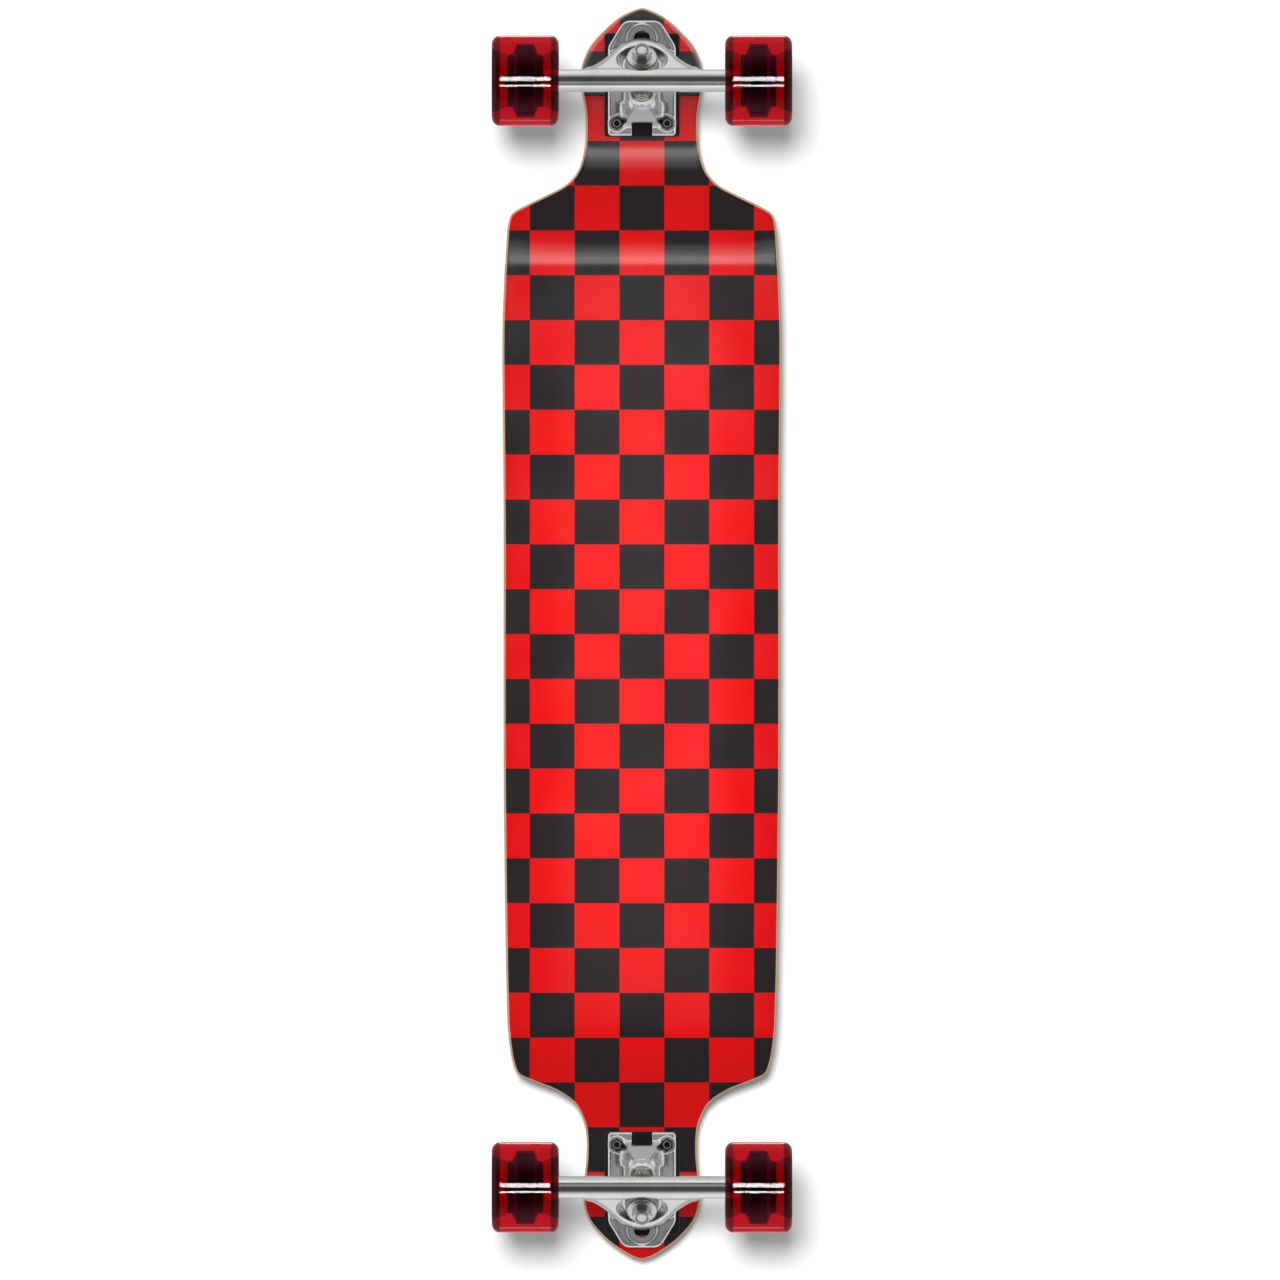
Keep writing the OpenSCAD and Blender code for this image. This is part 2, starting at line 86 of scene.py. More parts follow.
def truck_matrix(end):
    """From a truck's own millimetres, at its mounting face, to the frame."""
    place = Matrix.Translation((end * wheel_base / 2 * MM, 0, mount_z * MM))
    turn = Matrix.Rotation(0 if end > 0 else math.pi, 4, "Z")
    return place @ turn @ Matrix.Scale(MM, 4)


def axis_matrix(origin, direction):
    """Local z along a direction, from an origin, in millimetres."""
    turn = Vector(direction).to_track_quat("Z", "Y").to_matrix().to_4x4()
    return Matrix.Translation(Vector(origin)) @ turn


def wheel_matrix(end, side):
    place = Matrix.Translation((end * wheel_base / 2 * MM, side * wheel_y * MM, (axle_h + mount_z) * MM))
    return place @ Matrix.Rotation(-math.pi / 2 * side, 4, "X") @ Matrix.Scale(MM, 4)


# ---- Node helpers for materials ----
def start_material(name):
    material = bpy.data.materials.new(name)
    material.use_nodes = True
    tree = material.node_tree
    shader = tree.nodes["Principled BSDF"]
    where = tree.nodes.new("ShaderNodeTexCoord").outputs["Object"]
    return material, tree, shader, where


def stretched(tree, where, scale):
    mapping = tree.nodes.new("ShaderNodeMapping")
    mapping.inputs["Scale"].default_value = scale
    tree.links.new(where, mapping.inputs["Vector"])
    return mapping.outputs["Vector"]


def noise(tree, where, scale, detail=4.0, roughness=0.55):
    node = tree.nodes.new("ShaderNodeTexNoise")
    node.inputs["Scale"].default_value = scale
    node.inputs["Detail"].default_value = detail
    node.inputs["Roughness"].default_value = roughness
    tree.links.new(where, node.inputs["Vector"])
    return node.outputs["Fac"]


def calc(tree, operation, a, b=0.0, c=0.0):
    node = tree.nodes.new("ShaderNodeMath")
    node.operation = operation
    for socket, value in zip(node.inputs, (a, b, c)):
        if isinstance(value, (int, float)):
            socket.default_value = value
        else:
            tree.links.new(value, socket)
    return node.outputs[0]


def ranged(tree, value, low, high, to_low, to_high):
    node = tree.nodes.new("ShaderNodeMapRange")
    tree.links.new(value, node.inputs["Value"])
    for name, number in (("From Min", low), ("From Max", high), ("To Min", to_low), ("To Max", to_high)):
        node.inputs[name].default_value = number
    return node.outputs["Result"]


def blended(tree, factor, first, second):
    """A colour between two colours or colour sockets."""
    node = tree.nodes.new("ShaderNodeMix")
    node.data_type = "RGBA"
    tree.links.new(factor, node.inputs["Factor"])
    colour_inputs = [socket for socket in node.inputs if socket.type == "RGBA"]
    for socket, value in zip(colour_inputs, (first, second)):
        if isinstance(value, tuple):
            socket.default_value = (*value, 1)
        else:
            tree.links.new(value, socket)
    return [socket for socket in node.outputs if socket.type == "RGBA"][0]


def painted(tree, shader, colour, roughness, height, depth, **uniform):
    """Gives a shader its colour, roughness and bump; uniform values go straight onto its sockets."""
    tree.links.new(colour, shader.inputs["Base Color"])
    tree.links.new(roughness, shader.inputs["Roughness"])
    bump = tree.nodes.new("ShaderNodeBump")
    bump.inputs["Distance"].default_value = depth
    tree.links.new(height, bump.inputs["Height"])
    tree.links.new(bump.outputs["Normal"], shader.inputs["Normal"])
    for socket, value in uniform.items():
        shader.inputs[socket.replace("_", " ")].default_value = value


def separated(tree, where):
    node = tree.nodes.new("ShaderNodeSeparateXYZ")
    tree.links.new(where, node.inputs[0])
    return node.outputs


def surface(name, dark, light, rough, grain, grain_depth, metallic=0.0, **uniform):
    """A finish with patchy colour, patchy gloss and a fine grain in its bump."""
    material, tree, shader, where = start_material(name)
    patches = noise(tree, where, 45, 5)
    fine = noise(tree, where, grain, 3)
    both = calc(tree, "MULTIPLY_ADD", fine, 0.4, calc(tree, "MULTIPLY", patches, 0.6))
    shade = ranged(tree, both, 0.32, 0.68, 0, 1)
    colour = blended(tree, shade, dark, light)
    gloss = ranged(tree, both, 0.3, 0.7, *rough)
    painted(tree, shader, colour, gloss, fine, grain_depth, Metallic=metallic, **uniform)
    return material


# ---- Materials ----
SQUARE = 0.0368
PLY_COUNT = 9
# Radius of the tyre's rounded lips
LIP_R = 7.0


def printed_deck():
    """Red and black squares under a satin lacquer, with the maple's grain faintly telegraphed."""
    material, tree, shader, where = start_material("printed_deck")
    x, y, _ = separated(tree, where)
    row = calc(tree, "FLOOR", calc(tree, "DIVIDE", x, SQUARE))
    column = calc(tree, "FLOOR", calc(tree, "ADD", calc(tree, "DIVIDE", y, SQUARE), 0.5))
    black = calc(tree, "FLOORED_MODULO", calc(tree, "ADD", row, column), 2)
    grain = noise(tree, stretched(tree, where, (1, 22, 22)), 28, 5)
    ink = noise(tree, where, 1600, 2)
    shade = calc(tree, "MULTIPLY_ADD", ink, 0.35, calc(tree, "MULTIPLY", grain, 0.65))
    shade = ranged(tree, shade, 0.35, 0.65, 0, 1)
    red = blended(tree, shade, (0.90, 0.0, 0.001), (0.96, 0.0, 0.002))
    dark = blended(tree, shade, (0.0180, 0.0135, 0.0145), (0.0220, 0.0172, 0.0182))
    wear = ranged(tree, noise(tree, where, 30, 6), 0.3, 0.7, 0.10, 0.14)
    height = calc(tree, "MULTIPLY_ADD", ink, 0.15, grain)
    painted(tree, shader, blended(tree, black, red, dark), wear, height, 0.00002, Specular_IOR_Level=0.9)
    return material


def maple_plies():
    """The sanded edge of nine crossing maple plies; each point's height is in the mesh as 'ply'."""
    material, tree, shader, where = start_material("maple_plies")
    height = tree.nodes.new("ShaderNodeAttribute")
    height.attribute_name = "ply"
    level = calc(tree, "MULTIPLY", height.outputs["Fac"], PLY_COUNT)
    turned = calc(tree, "FLOORED_MODULO", calc(tree, "FLOOR", level), 2)
    inside = calc(tree, "PINGPONG", level, 0.5)
    glue = ranged(tree, inside, 0.0, 0.07, 1, 0)
    along = noise(tree, stretched(tree, where, (1, 1, 30)), 60, 6)
    across = noise(tree, stretched(tree, where, (14, 14, 60)), 60, 5)
    pale = blended(tree, along, (0.80, 0.48, 0.27), (0.95, 0.64, 0.40))
    deep = blended(tree, across, (0.58, 0.30, 0.15), (0.76, 0.44, 0.24))
    wood = blended(tree, turned, pale, deep)
    colour = blended(tree, glue, wood, (0.20, 0.10, 0.05))
    sanded = ranged(tree, along, 0.3, 0.7, 0.42, 0.62)
    painted(tree, shader, colour, sanded, calc(tree, "SUBTRACT", along, glue), 0.00006)
    return material


def grip_grit():
    """Silicon carbide grains on black paper: sharp bump and pale glints."""
    material, tree, shader, where = start_material("grip_grit")
    cells = tree.nodes.new("ShaderNodeTexVoronoi")
    cells.inputs["Scale"].default_value = 1500
    tree.links.new(where, cells.inputs["Vector"])
    grains = cells.outputs["Distance"]
    tint = separated(tree, cells.outputs["Color"])[0]
    dusty = noise(tree, where, 14, 6, 0.6)
    glint = ranged(tree, tint, 0.86, 0.98, 0, 1)
    dust = ranged(tree, dusty, 0.35, 0.7, 0, 1)
    base = blended(tree, dust, (0.010, 0.010, 0.011), (0.026, 0.026, 0.028))
    colour = blended(tree, glint, base, (0.16, 0.16, 0.17))
    rough = ranged(tree, tint, 0, 1, 0.95, 0.55)
    height = calc(tree, "SUBTRACT", tint, grains)
    painted(tree, shader, colour, rough, height, 0.00035, Specular_IOR_Level=0.35)
    return material


def urethane_red():
    """Clear red urethane that shows the core inside; its rounded lips get painted shade, a deeper red that
    stands in for light passing through more urethane there.
    """
    material, tree, shader, where = start_material("urethane_red")
    _, y, _ = separated(tree, where)
    middle = calc(tree, "ABSOLUTE", calc(tree, "SUBTRACT", calc(tree, "ABSOLUTE", y), wheel_y * MM))
    flat = (tyre_half - LIP_R) * MM
    # Masks for the painted shade: where the rounded lips begin, and how far out towards their edge
    lip = ranged(tree, middle, flat, flat + 0.0006, 0, 1)
    outer = ranged(tree, middle, flat + 0.0045, tyre_half * MM, 0, 1)
    swirl = noise(tree, where, 35, 4)
    clear = blended(tree, swirl, (0.46, 0.0, 0.004), (0.54, 0.0, 0.007))
    # Painted shade: a darker red for the lips, deepest at their outer edge, for the thicker urethane the
    # light passes through
    deep = blended(tree, outer, (0.17, 0.0, 0.002), (0.28, 0.0, 0.004))
    haze = ranged(tree, noise(tree, where, 160, 4), 0.3, 0.7, 0.01, 0.04)
    painted(tree, shader, blended(tree, lip, clear, deep), haze, noise(tree, where, 300, 2), 0.0000006,
            Transmission_Weight=1.0, IOR=1.01, Coat_Weight=0.35, Coat_Roughness=0.03, Coat_IOR=1.32)
    return material


# Name, darker and lighter colour, range of roughness, grain's scale, grain's depth, metallic
FINISHES = {
    "hanger": ("polished_casting", (0.60, 0.61, 0.62), (0.72, 0.73, 0.74), (0.13, 0.21), 700, 0.00001, 1.0),
    "plate": ("tumbled_casting", (0.58, 0.59, 0.60), (0.70, 0.71, 0.72), (0.22, 0.32), 600, 0.00002, 1.0),
    "zinc": ("zinc_plate", (0.52, 0.52, 0.53), (0.72, 0.72, 0.72), (0.20, 0.34), 1400, 0.00001, 1.0),
    "black": ("black_oxide", (0.018, 0.018, 0.020), (0.060, 0.060, 0.064), (0.28, 0.45), 1500, 0.00001, 0.9),
    "steel": ("bearing_steel", (0.62, 0.63, 0.64), (0.74, 0.74, 0.75), (0.08, 0.16), 1800, 0.000004, 1.0),
    "core": ("core_plastic", (0.003, 0.003, 0.0033), (0.008, 0.008, 0.009), (0.34, 0.50), 1100, 0.00002),
    "cream": ("cream_urethane", (0.70, 0.64, 0.34), (0.84, 0.79, 0.52), (0.24, 0.38), 500, 0.00002),
    "rubber": ("riser_rubber", (0.006, 0.006, 0.006), (0.016, 0.016, 0.016), (0.55, 0.75), 900, 0.00004),
    "shield": ("shield_rubber", (0.30, 0.008, 0.012), (0.46, 0.018, 0.024), (0.40, 0.55), 1200, 0.00002),
    "nylon": ("nylon_insert", (0.50, 0.52, 0.54), (0.68, 0.70, 0.72), (0.35, 0.5), 900, 0.00001),
}
TRANSLUCENT = {
    "cream": {"Subsurface_Weight": 0.25, "Subsurface_Scale": 0.004},
    "nylon": {"Subsurface_Weight": 0.15, "Subsurface_Scale": 0.001},
}
MATERIALS = {"print": printed_deck(), "plies": maple_plies(), "grit": grip_grit(), "red": urethane_red()}
MATERIALS |= {key: surface(*finish, **TRANSLUCENT.get(key, {})) for key, finish in FINISHES.items()}


# ---- Meshes ----
def placed(name, data):
    """A new object in the scene."""
    obj = bpy.data.objects.new(name, data)
    bpy.context.collection.objects.link(obj)
    return obj


def make_piece(name, verts, faces, materials, body, slot, replaces, sharp=35):
    """A piece from points in the frame's metres, riding on a body in the place of CAD nodes."""
    mesh = bpy.data.meshes.new(name)
    mesh.from_pydata([tuple(v) for v in verts], [], [tuple(f) for f in faces])
    mesh.validate()
    piece = placed(name, mesh)
    for key in materials:
        mesh.materials.append(MATERIALS[key])
    mesh.shade_smooth()
    if sharp:
        mesh.set_sharp_from_angle(angle=math.radians(sharp))
    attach(piece, body)
    if replaces:
        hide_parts(*replaces)
    return piece


def moved(verts, matrix):
    m = np.array(matrix)
    return np.asarray(verts, float) @ m[:3, :3].T + m[:3, 3]


def joined(parts):
    """Several pairs of points and faces as one."""
    verts, faces, count = [], [], 0
    for some, polygons in parts:
        verts.append(np.asarray(some))
        faces += [tuple(i + count for i in f) for f in polygons]
        count += len(some)
    return np.concatenate(verts), faces


def rounded(profile, radius, steps=4):
    """A closed outline with each corner rounded, as far as its sides allow."""
    points = [np.array(p, float) for p in profile]
    out = []
    for k, here in enumerate(points):
        before, after = points[k - 1], points[(k + 1) % len(points)]
        a, b = before - here, after - here
        la, lb = np.linalg.norm(a), np.linalg.norm(b)
        cosine = float(np.clip(a @ b / (la * lb), -1, 1))
        half = math.acos(cosine) / 2
        if half > 1.5:
            out.append(here)
            continue
        cut = min(radius / math.tan(half), 0.45 * la, 0.45 * lb)
        start, end = here + a / la * cut, here + b / lb * cut
        for step in range(steps + 1):
            t = step / steps
            out.append((1 - t) ** 2 * start + 2 * t * (1 - t) * here + t * t * end)
    return out


def lathe(profile, matrix, turns=96):
    """A closed outline of (radius, height) turned about local z."""
    ring = np.array(profile, float)
    n = len(ring)
    angles = np.arange(turns) * 2 * math.pi / turns
    verts = np.stack([
        ring[None, :, 0] * np.cos(angles)[:, None],
        ring[None, :, 0] * np.sin(angles)[:, None],
        np.repeat(ring[None, :, 1], turns, 0),
    ], -1).reshape(-1, 3)
    area = sum(ring[k - 1][0] * ring[k][1] - ring[k][0] * ring[k - 1][1] for k in range(n))
    faces = []
    for i in range(turns):
        j = (i + 1) % turns
        for k in range(n):
            m = (k + 1) % n
            quad = (i * n + k, j * n + k, j * n + m, i * n + m)
            faces.append(quad if area > 0 else quad[::-1])
    return moved(verts, matrix), faces


def make_turned(name, profile, at, look, body, slot, node, sharp, turns=96):
    """A piece that is one closed profile turned about an axis."""
    make_piece(name, *lathe(profile, at, turns), (look,), body, slot, (node,), sharp)


# ---- Solids from distance fields, in a truck's millimetres ----
def soft_min(a, b, k):
    h = np.clip(0.5 + 0.5 * (b - a) / k, 0, 1)
    return b + (a - b) * h - k * h * (1 - h)


def soft_max(a, b, k):
    return -soft_min(-a, -b, k)


def outline_distance(x, y, points):
    """Signed distance to a closed outline, negative inside."""
    points = np.asarray(points, float)
    nearest = np.full(x.shape, 1e9)
    sign = np.ones(x.shape)
    for a, b in zip(np.roll(points, 1, 0), points):
        ex, ey = b - a
        wx, wy = x - a[0], y - a[1]
        t = np.clip((wx * ex + wy * ey) / (ex * ex + ey * ey + 1e-12), 0, 1)
        nearest = np.minimum(nearest, (wx - ex * t) ** 2 + (wy - ey * t) ** 2)
        above, below = y >= a[1], y < b[1]
        left = ex * wy > ey * wx
        flip = (above & below & left) | (~above & ~below & ~left)
        sign = np.where(flip, -sign, sign)
    return sign * np.sqrt(nearest)


def along(p, origin, direction):
    """Height along an axis and distance from it."""
    d = p - origin
    h = d @ direction
    return h, np.sqrt(np.maximum((d * d).sum(-1) - h * h, 0))


def sculpt(field, low, high, step):
    """The surface where a field is zero: one point per crossed cell, then drawn onto the surface."""
    counts = [int(math.ceil((h - l) / step)) + 3 for l, h in zip(low, high)]
    axes = [l - step + step * np.arange(c) for l, c in zip(low, counts)]
    grid = np.stack(np.meshgrid(*axes, indexing="ij"), -1)
    f = field(grid.reshape(-1, 3)).reshape(counts)
    inside = f < 0
    corner_sum = np.zeros([c - 1 for c in counts], int)
    for corner in np.ndindex(2, 2, 2):
        corner_sum += inside[tuple(slice(d, c - 1 + d) for d, c in zip(corner, counts))]
    active = (corner_sum > 0) & (corner_sum < 8)
    index = np.full(active.shape, -1)
    index[active] = np.arange(active.sum())
    total = np.zeros((*active.shape, 3))
    number = np.zeros(active.shape)
    faces = []
    for axis in range(3):
        head = [slice(None)] * 3
        tail = [slice(None)] * 3
        head[axis], tail[axis] = slice(0, -1), slice(1, None)
        a, b = f[tuple(head)], f[tuple(tail)]
        cross = (a < 0) != (b < 0)
        t = np.where(cross, a / np.where(cross, a - b, 1), 0)
        p = grid[tuple(head)].copy()
        p[..., axis] += t * step
        others = [k for k in range(3) if k != axis]
        for d0 in (0, 1):
            for d1 in (0, 1):
                edge = [slice(None)] * 3
                for k, d in zip(others, (d0, d1)):
                    edge[k] = slice(d, counts[k] - 1 + d)
                weight = cross[tuple(edge)]
                total += p[tuple(edge)] * weight[..., None]
                number += weight
        where = np.argwhere(cross)
        keep = np.all([(where[:, k] > 0) & (where[:, k] < counts[k] - 1) for k in others], 0)
        where = where[keep]
        rising = (f[tuple(where.T)] < 0)
        shift = np.zeros((4, 3), int)
        for row, (d0, d1) in enumerate(((0, 0), (1, 0), (1, 1), (0, 1))):
            shift[row, others[0]], shift[row, others[1]] = -d0, -d1
        quads = np.stack([index[tuple((where + s).T)] for s in shift], 1)
        flip = rising if axis == 1 else ~rising
        quads[flip] = quads[flip][:, ::-1]
        faces.append(quads)
    points = total[active] / number[active][:, None]
    return drawn_onto(field, points, step), np.concatenate(faces).tolist()


def drawn_onto(field, points, step):
    """Points near the surface where a field is zero, moved along its slope until they lie on it."""
    for _ in range(3):
        value = field(points)
        slope = np.stack([
            (field(points + d) - field(points - d)) / 0.1 for d in np.eye(3) * 0.05
        ], -1)
        size = np.maximum((slope * slope).sum(-1), 0.2)
        points = points - np.clip(value / size, -step / 2, step / 2)[:, None] * slope
    return points


# ---- Deck ----
# Half outline from nose to tail: distance along the deck, half width, in millimetres.
HALF_OUTLINE = [
    (513.5, 3), (511, 9.5), (506, 19), (496, 30.5), (480, 44), (458, 50.5), (428, 46.5), (404, 46.5),
    (388, 49.5), (377, 54.5), (368, 63.5), (360, 78.5), (352, 95), (345, 106.5), (335, 110), (320, 111.2),
    (306, 112), (290, 113), (235, 114.5), (100, 113.5), (-100, 113.5), (-240, 112), (-312, 110.5),
    (-328, 109.5), (-341, 108), (-353, 105.5), (-362, 101), (-368, 88), (-375, 70.5), (-385, 56),
    (-397, 49), (-410, 45.7), (-430, 45.5), (-461, 48.2), (-480, 44), (-495, 32), (-505, 19.5),
    (-511, 9.5), (-513.5, 3),
]
# Where the slope between each raised end and the low middle starts and stops, and half a bend's run
NOSE_BENDS = (388, 314)
TAIL_BENDS = (396, 334)
BEND_RUN = 13
# The concave: half width of the flat floor, and how far the rails rise beside it
FLAT_HALF = 72
CONCAVE = 7
# Radii of the rails' lower and upper edges
ROUND_UNDER = 2.2
ROUND_TOP = 3
DECK_COLUMNS = 31
# Mounting bolts: along and across a truck from the middle of its axle
BOLT_X = (-34, 20)
BOLT_Y = 20.65
BOLT_R = 2.4


def spline(points, steps):
    p = np.array(points, float)
    out = []
    for i in range(len(p) - 1):
        a, b, c, d = p[max(i - 1, 0)], p[i], p[i + 1], p[min(i + 2, len(p) - 1)]
        for k in range(steps):
            t = k / steps
            out.append(0.5 * (2 * b + (c - a) * t + (2 * a - 5 * b + 4 * c - d) * t ** 2
                              + (3 * b - a - 3 * c + d) * t ** 3))
    return np.array(out + [p[-1]])


def ramp(x):
    return np.where(x < -BEND_RUN, 0, np.where(x > BEND_RUN, x, (x + BEND_RUN) ** 2 / (4 * BEND_RUN)))


def under_z(x, y):
    """Height of the deck's underside over the ground, in millimetres."""
    x, y = np.asarray(x, float), np.asarray(y, float)
    nose, tail = ((ramp(a - s * x) - ramp(b - s * x)) / (a - b)
                  for s, (a, b) in ((1, NOSE_BENDS), (-1, TAIL_BENDS)))
    level = np.where(x > 0, nose, tail)
    lift = (np.maximum(np.abs(y) - FLAT_HALF, 0) / (deck_half - FLAT_HALF)) ** 2
    return head_z + level * (CONCAVE * lift - drop)


def deck_rail(steps=6):
    """The outline's points and its outward normals."""
    rail = spline(HALF_OUTLINE, steps)
    run = np.gradient(rail, axis=0)
    normal = np.stack([run[:, 1], -run[:, 0]], -1)
    return rail, normal / np.linalg.norm(normal, axis=1)[:, None]


def end_cap(n, columns):
    """Faces over one ring: its two rows of columns, and strips from rim to rim between them."""
    if not columns:
        return [tuple(range(n))]
    rim = (n - 2 * columns) // 2
    upper = columns + rim
    cap = [tuple(range(columns + 1)) + (n - 1,), (upper - 1,) + tuple(range(upper, n - rim + 1))]
    for j in range(rim - 1):
        cap.append((n - 1 - j, columns + j, columns + j + 1, n - 2 - j))
    return cap


def ring_skin(rings, columns=0):
    """A closed skin over rings of equally many points."""
    count, n = len(rings), len(rings[0])
    last = (count - 1) * n
    faces = [face[::-1] for face in end_cap(n, columns)]
    faces += [tuple(last + k for k in face) for face in end_cap(n, columns)]
    for i in range(0, last, n):
        for k in range(n):
            m = (k + 1) % n
            faces.append((i + k, i + m, i + n + m, i + n + k))
    return np.concatenate(rings), faces


def pointed(rings, beyond):
    """The same rings with one more at each end, drawn in to a narrow edge that lies further out."""
    def tip(ring, far):
        out = ring * (1, 0.04, 1)
        out[:, 0] += far
        out[:, 2] += under_z(out[:, 0], out[:, 1]) - under_z(ring[:, 0], ring[:, 1])
        return out

    return [tip(rings[0], beyond)] + rings + [tip(rings[-1], -beyond)]


def deck_row(point, out, inset, height):
    """Points across the deck from one place on its outline, at a height over its underside."""
    x, w = point - inset * out
    y = np.linspace(-1, 1, DECK_COLUMNS) * w
    return np.stack([np.full(DECK_COLUMNS, x), y, under_z(x, y) + height], -1)


def deck_rim(point, out, side, steps=5):
    """Points round the rail on one side, from the lower rounding to the upper one."""
    rows = []
    for radius, base, up in ((ROUND_UNDER, 0, 1), (ROUND_TOP, deck_t, -1)):
        for k in range(1, steps + 1)[::up]:
            a = math.pi / 2 * k / steps
            x, w = point - radius * (1 - math.sin(a)) * out
            z = base + up * radius * (1 - math.cos(a))
            rows.append((x, side * w, float(under_z(x, w)) + z))
    return np.array(rows)


def bolt_places(end, below=0.0):
    """Where the four mounting bolts of a truck are, at a height under its mounting face."""
    places = [(x, side * BOLT_Y, -below) for x in BOLT_X for side in (-1, 1)]
    return [truck_matrix(end) @ Matrix.Translation(place) for place in places]


def lathe_solid(side, matrix, turns=48):
    """A solid of revolution given by its side from bottom to top, with flat ends."""
    a = np.arange(turns) * 2 * math.pi / turns
    rings = [np.stack([r * np.cos(a), r * np.sin(a), np.full(turns, z)], -1) for r, z in side]
    verts, faces = ring_skin(rings)
    return moved(verts, matrix), faces


def cut(piece, verts, faces):
    """Cuts a closed mesh out of a piece."""
    mesh = bpy.data.meshes.new("cutter")
    mesh.from_pydata([tuple(v) for v in verts], [], faces)
    tool = placed("cutter", mesh)
    modifier = piece.modifiers.new("cut", "BOOLEAN")
    modifier.operation, modifier.solver, modifier.object = "DIFFERENCE", "EXACT", tool
    graph = bpy.context.evaluated_depsgraph_get()
    result = bpy.data.meshes.new_from_object(piece.evaluated_get(graph))
    piece.modifiers.remove(modifier)
    piece.data = result
    bpy.data.objects.remove(tool)


def cut_bolt_holes(piece, side, ends=(1, -1)):
    """Cuts a solid of revolution, given by its side, out of a piece at each mounting bolt."""
    cut(piece, *joined([lathe_solid(side, at) for end in ends for at in bolt_places(end)]))


def make_deck():
    rings = [
        np.concatenate([
            deck_row(point, out, ROUND_UNDER, 0), deck_rim(point, out, 1),
            deck_row(point, out, ROUND_TOP, deck_t)[::-1], deck_rim(point, out, -1)[::-1],
        ]) for point, out in zip(*deck_rail())
    ]
    verts, faces = ring_skin(pointed(rings, deck_end - rings[0][:, 0].max()), DECK_COLUMNS)
    piece = make_piece("deck_body", verts * MM, faces, ("plies", "print"), "board", "maple", ("deck",), 50)
    hole, flare, top = BOLT_R + 0.2, 2.4, pad_t + deck_t + 0.02
    cut_bolt_holes(piece, [(hole, pad_t - 5), (hole, top - flare), (hole + flare, top)])
    mark_plies(piece.data)


def mark_plies(mesh):
    """Stores each point's height in the deck, and gives the underside its printed finish."""
    points = np.zeros(len(mesh.vertices) * 3)
    mesh.vertices.foreach_get("co", points)
    points = points.reshape(-1, 3) / MM
    height = points[:, 2] - under_z(points[:, 0], points[:, 1])
    ply = mesh.attributes.new("ply", "FLOAT", "POINT")
    ply.data.foreach_set("value", np.clip(height / deck_t, 0.001, 0.999).astype(np.float32))
    for polygon in mesh.polygons:
        low = max(height[v] for v in polygon.vertices) < 0.15
        polygon.material_index = 1 if low and polygon.normal.z < -0.8 else 0


def make_grip():
    """A sheet of grip tape whose edge rises steeply to its upper face."""
    rings = []
    for point, out in zip(*deck_rail()):
        lower = deck_row(point, out, ROUND_TOP, deck_t)
        edge = deck_row(point, out, ROUND_TOP, deck_t + 0.7)
        upper = deck_row(point, out, ROUND_TOP + 0.3, deck_t + grip_t)
        rings.append(np.concatenate([lower, edge[-1:], upper[::-1], edge[:1]]))
    verts, faces = ring_skin(pointed(rings, 0.5), DECK_COLUMNS)
    piece = make_piece("grip_sheet", verts * MM, faces, ("grit",), "board", "grip", ("grip_tape",), 40)
    hole, face = BOLT_R + 2.6, pad_t + deck_t
    cut_bolt_holes(piece, [(hole, face - 2), (hole, face + 4)])


# ---- Trucks ----
KINGPIN_R = 4.76
# Along the kingpin from the middle of the hanger's ring: ring, bushings, washers, nut and thread's end
RING_HALF = 5.5
SEAT_DEPTH = 1
UNDER_BUSHING_END = -19.5
SEAT_FACE = -21
OVER_BUSHING_END = 16.5
CUP_TOP = 18.5
KINGPIN_END = 25.6
# Radii of the hanger's ball, the urethane cup and its boss, and the height of the cup's rim
PIVOT_R = 5
CUP_R = 7.2
BOSS_R = 10.6
CUP_RIM = 2.4
# The baseplate: thickness, half width, and extent along the board
PLATE_T = 6
PLATE_HALF = 27.8
# The large round hole near the plate's outer end
PORT_X = 35.3
PLATE_X = (-44, 50.4)
# The space that each casting is sculpted in, corner to corner, and the size of its cells
HANGER_SPACE = ((-13, -84, -78), (38, 84, -10), 0.8)
PLATE_SPACE = ((-46, -30, -67), (52, 30, 1), 0.7)
# Half outline of the hanger seen from below: towards the truck's outer end, half width
BELL_HALF = [
    (9.5, 48.4), (12, 41), (15.6, 34.5), (19.4, 29.3), (24, 24.4), (28, 20), (31.4, 15.8), (34.6, 9),
    (35.7, 3),
]


def beside_ring(s, t):
    """(u, w) of a point in the truck's middle plane, from the ring along the steering axis and the pin."""
    return (ring_at + s * steer_dir + t * pin_dir)[[0, 2]]


def ring_coordinates(p):
    """Distance from the ring's middle along the steering axis and along the kingpin."""
    d = p - ring_at
    return d @ steer_dir, d @ pin_dir


def beside_line(u, w, start, end):
    """Signed distance to the left of the line between two points (u, w)."""
    run = (end - start) / np.linalg.norm(end - start)
    return (u - start[0]) * -run[1] + (w - start[1]) * run[0]


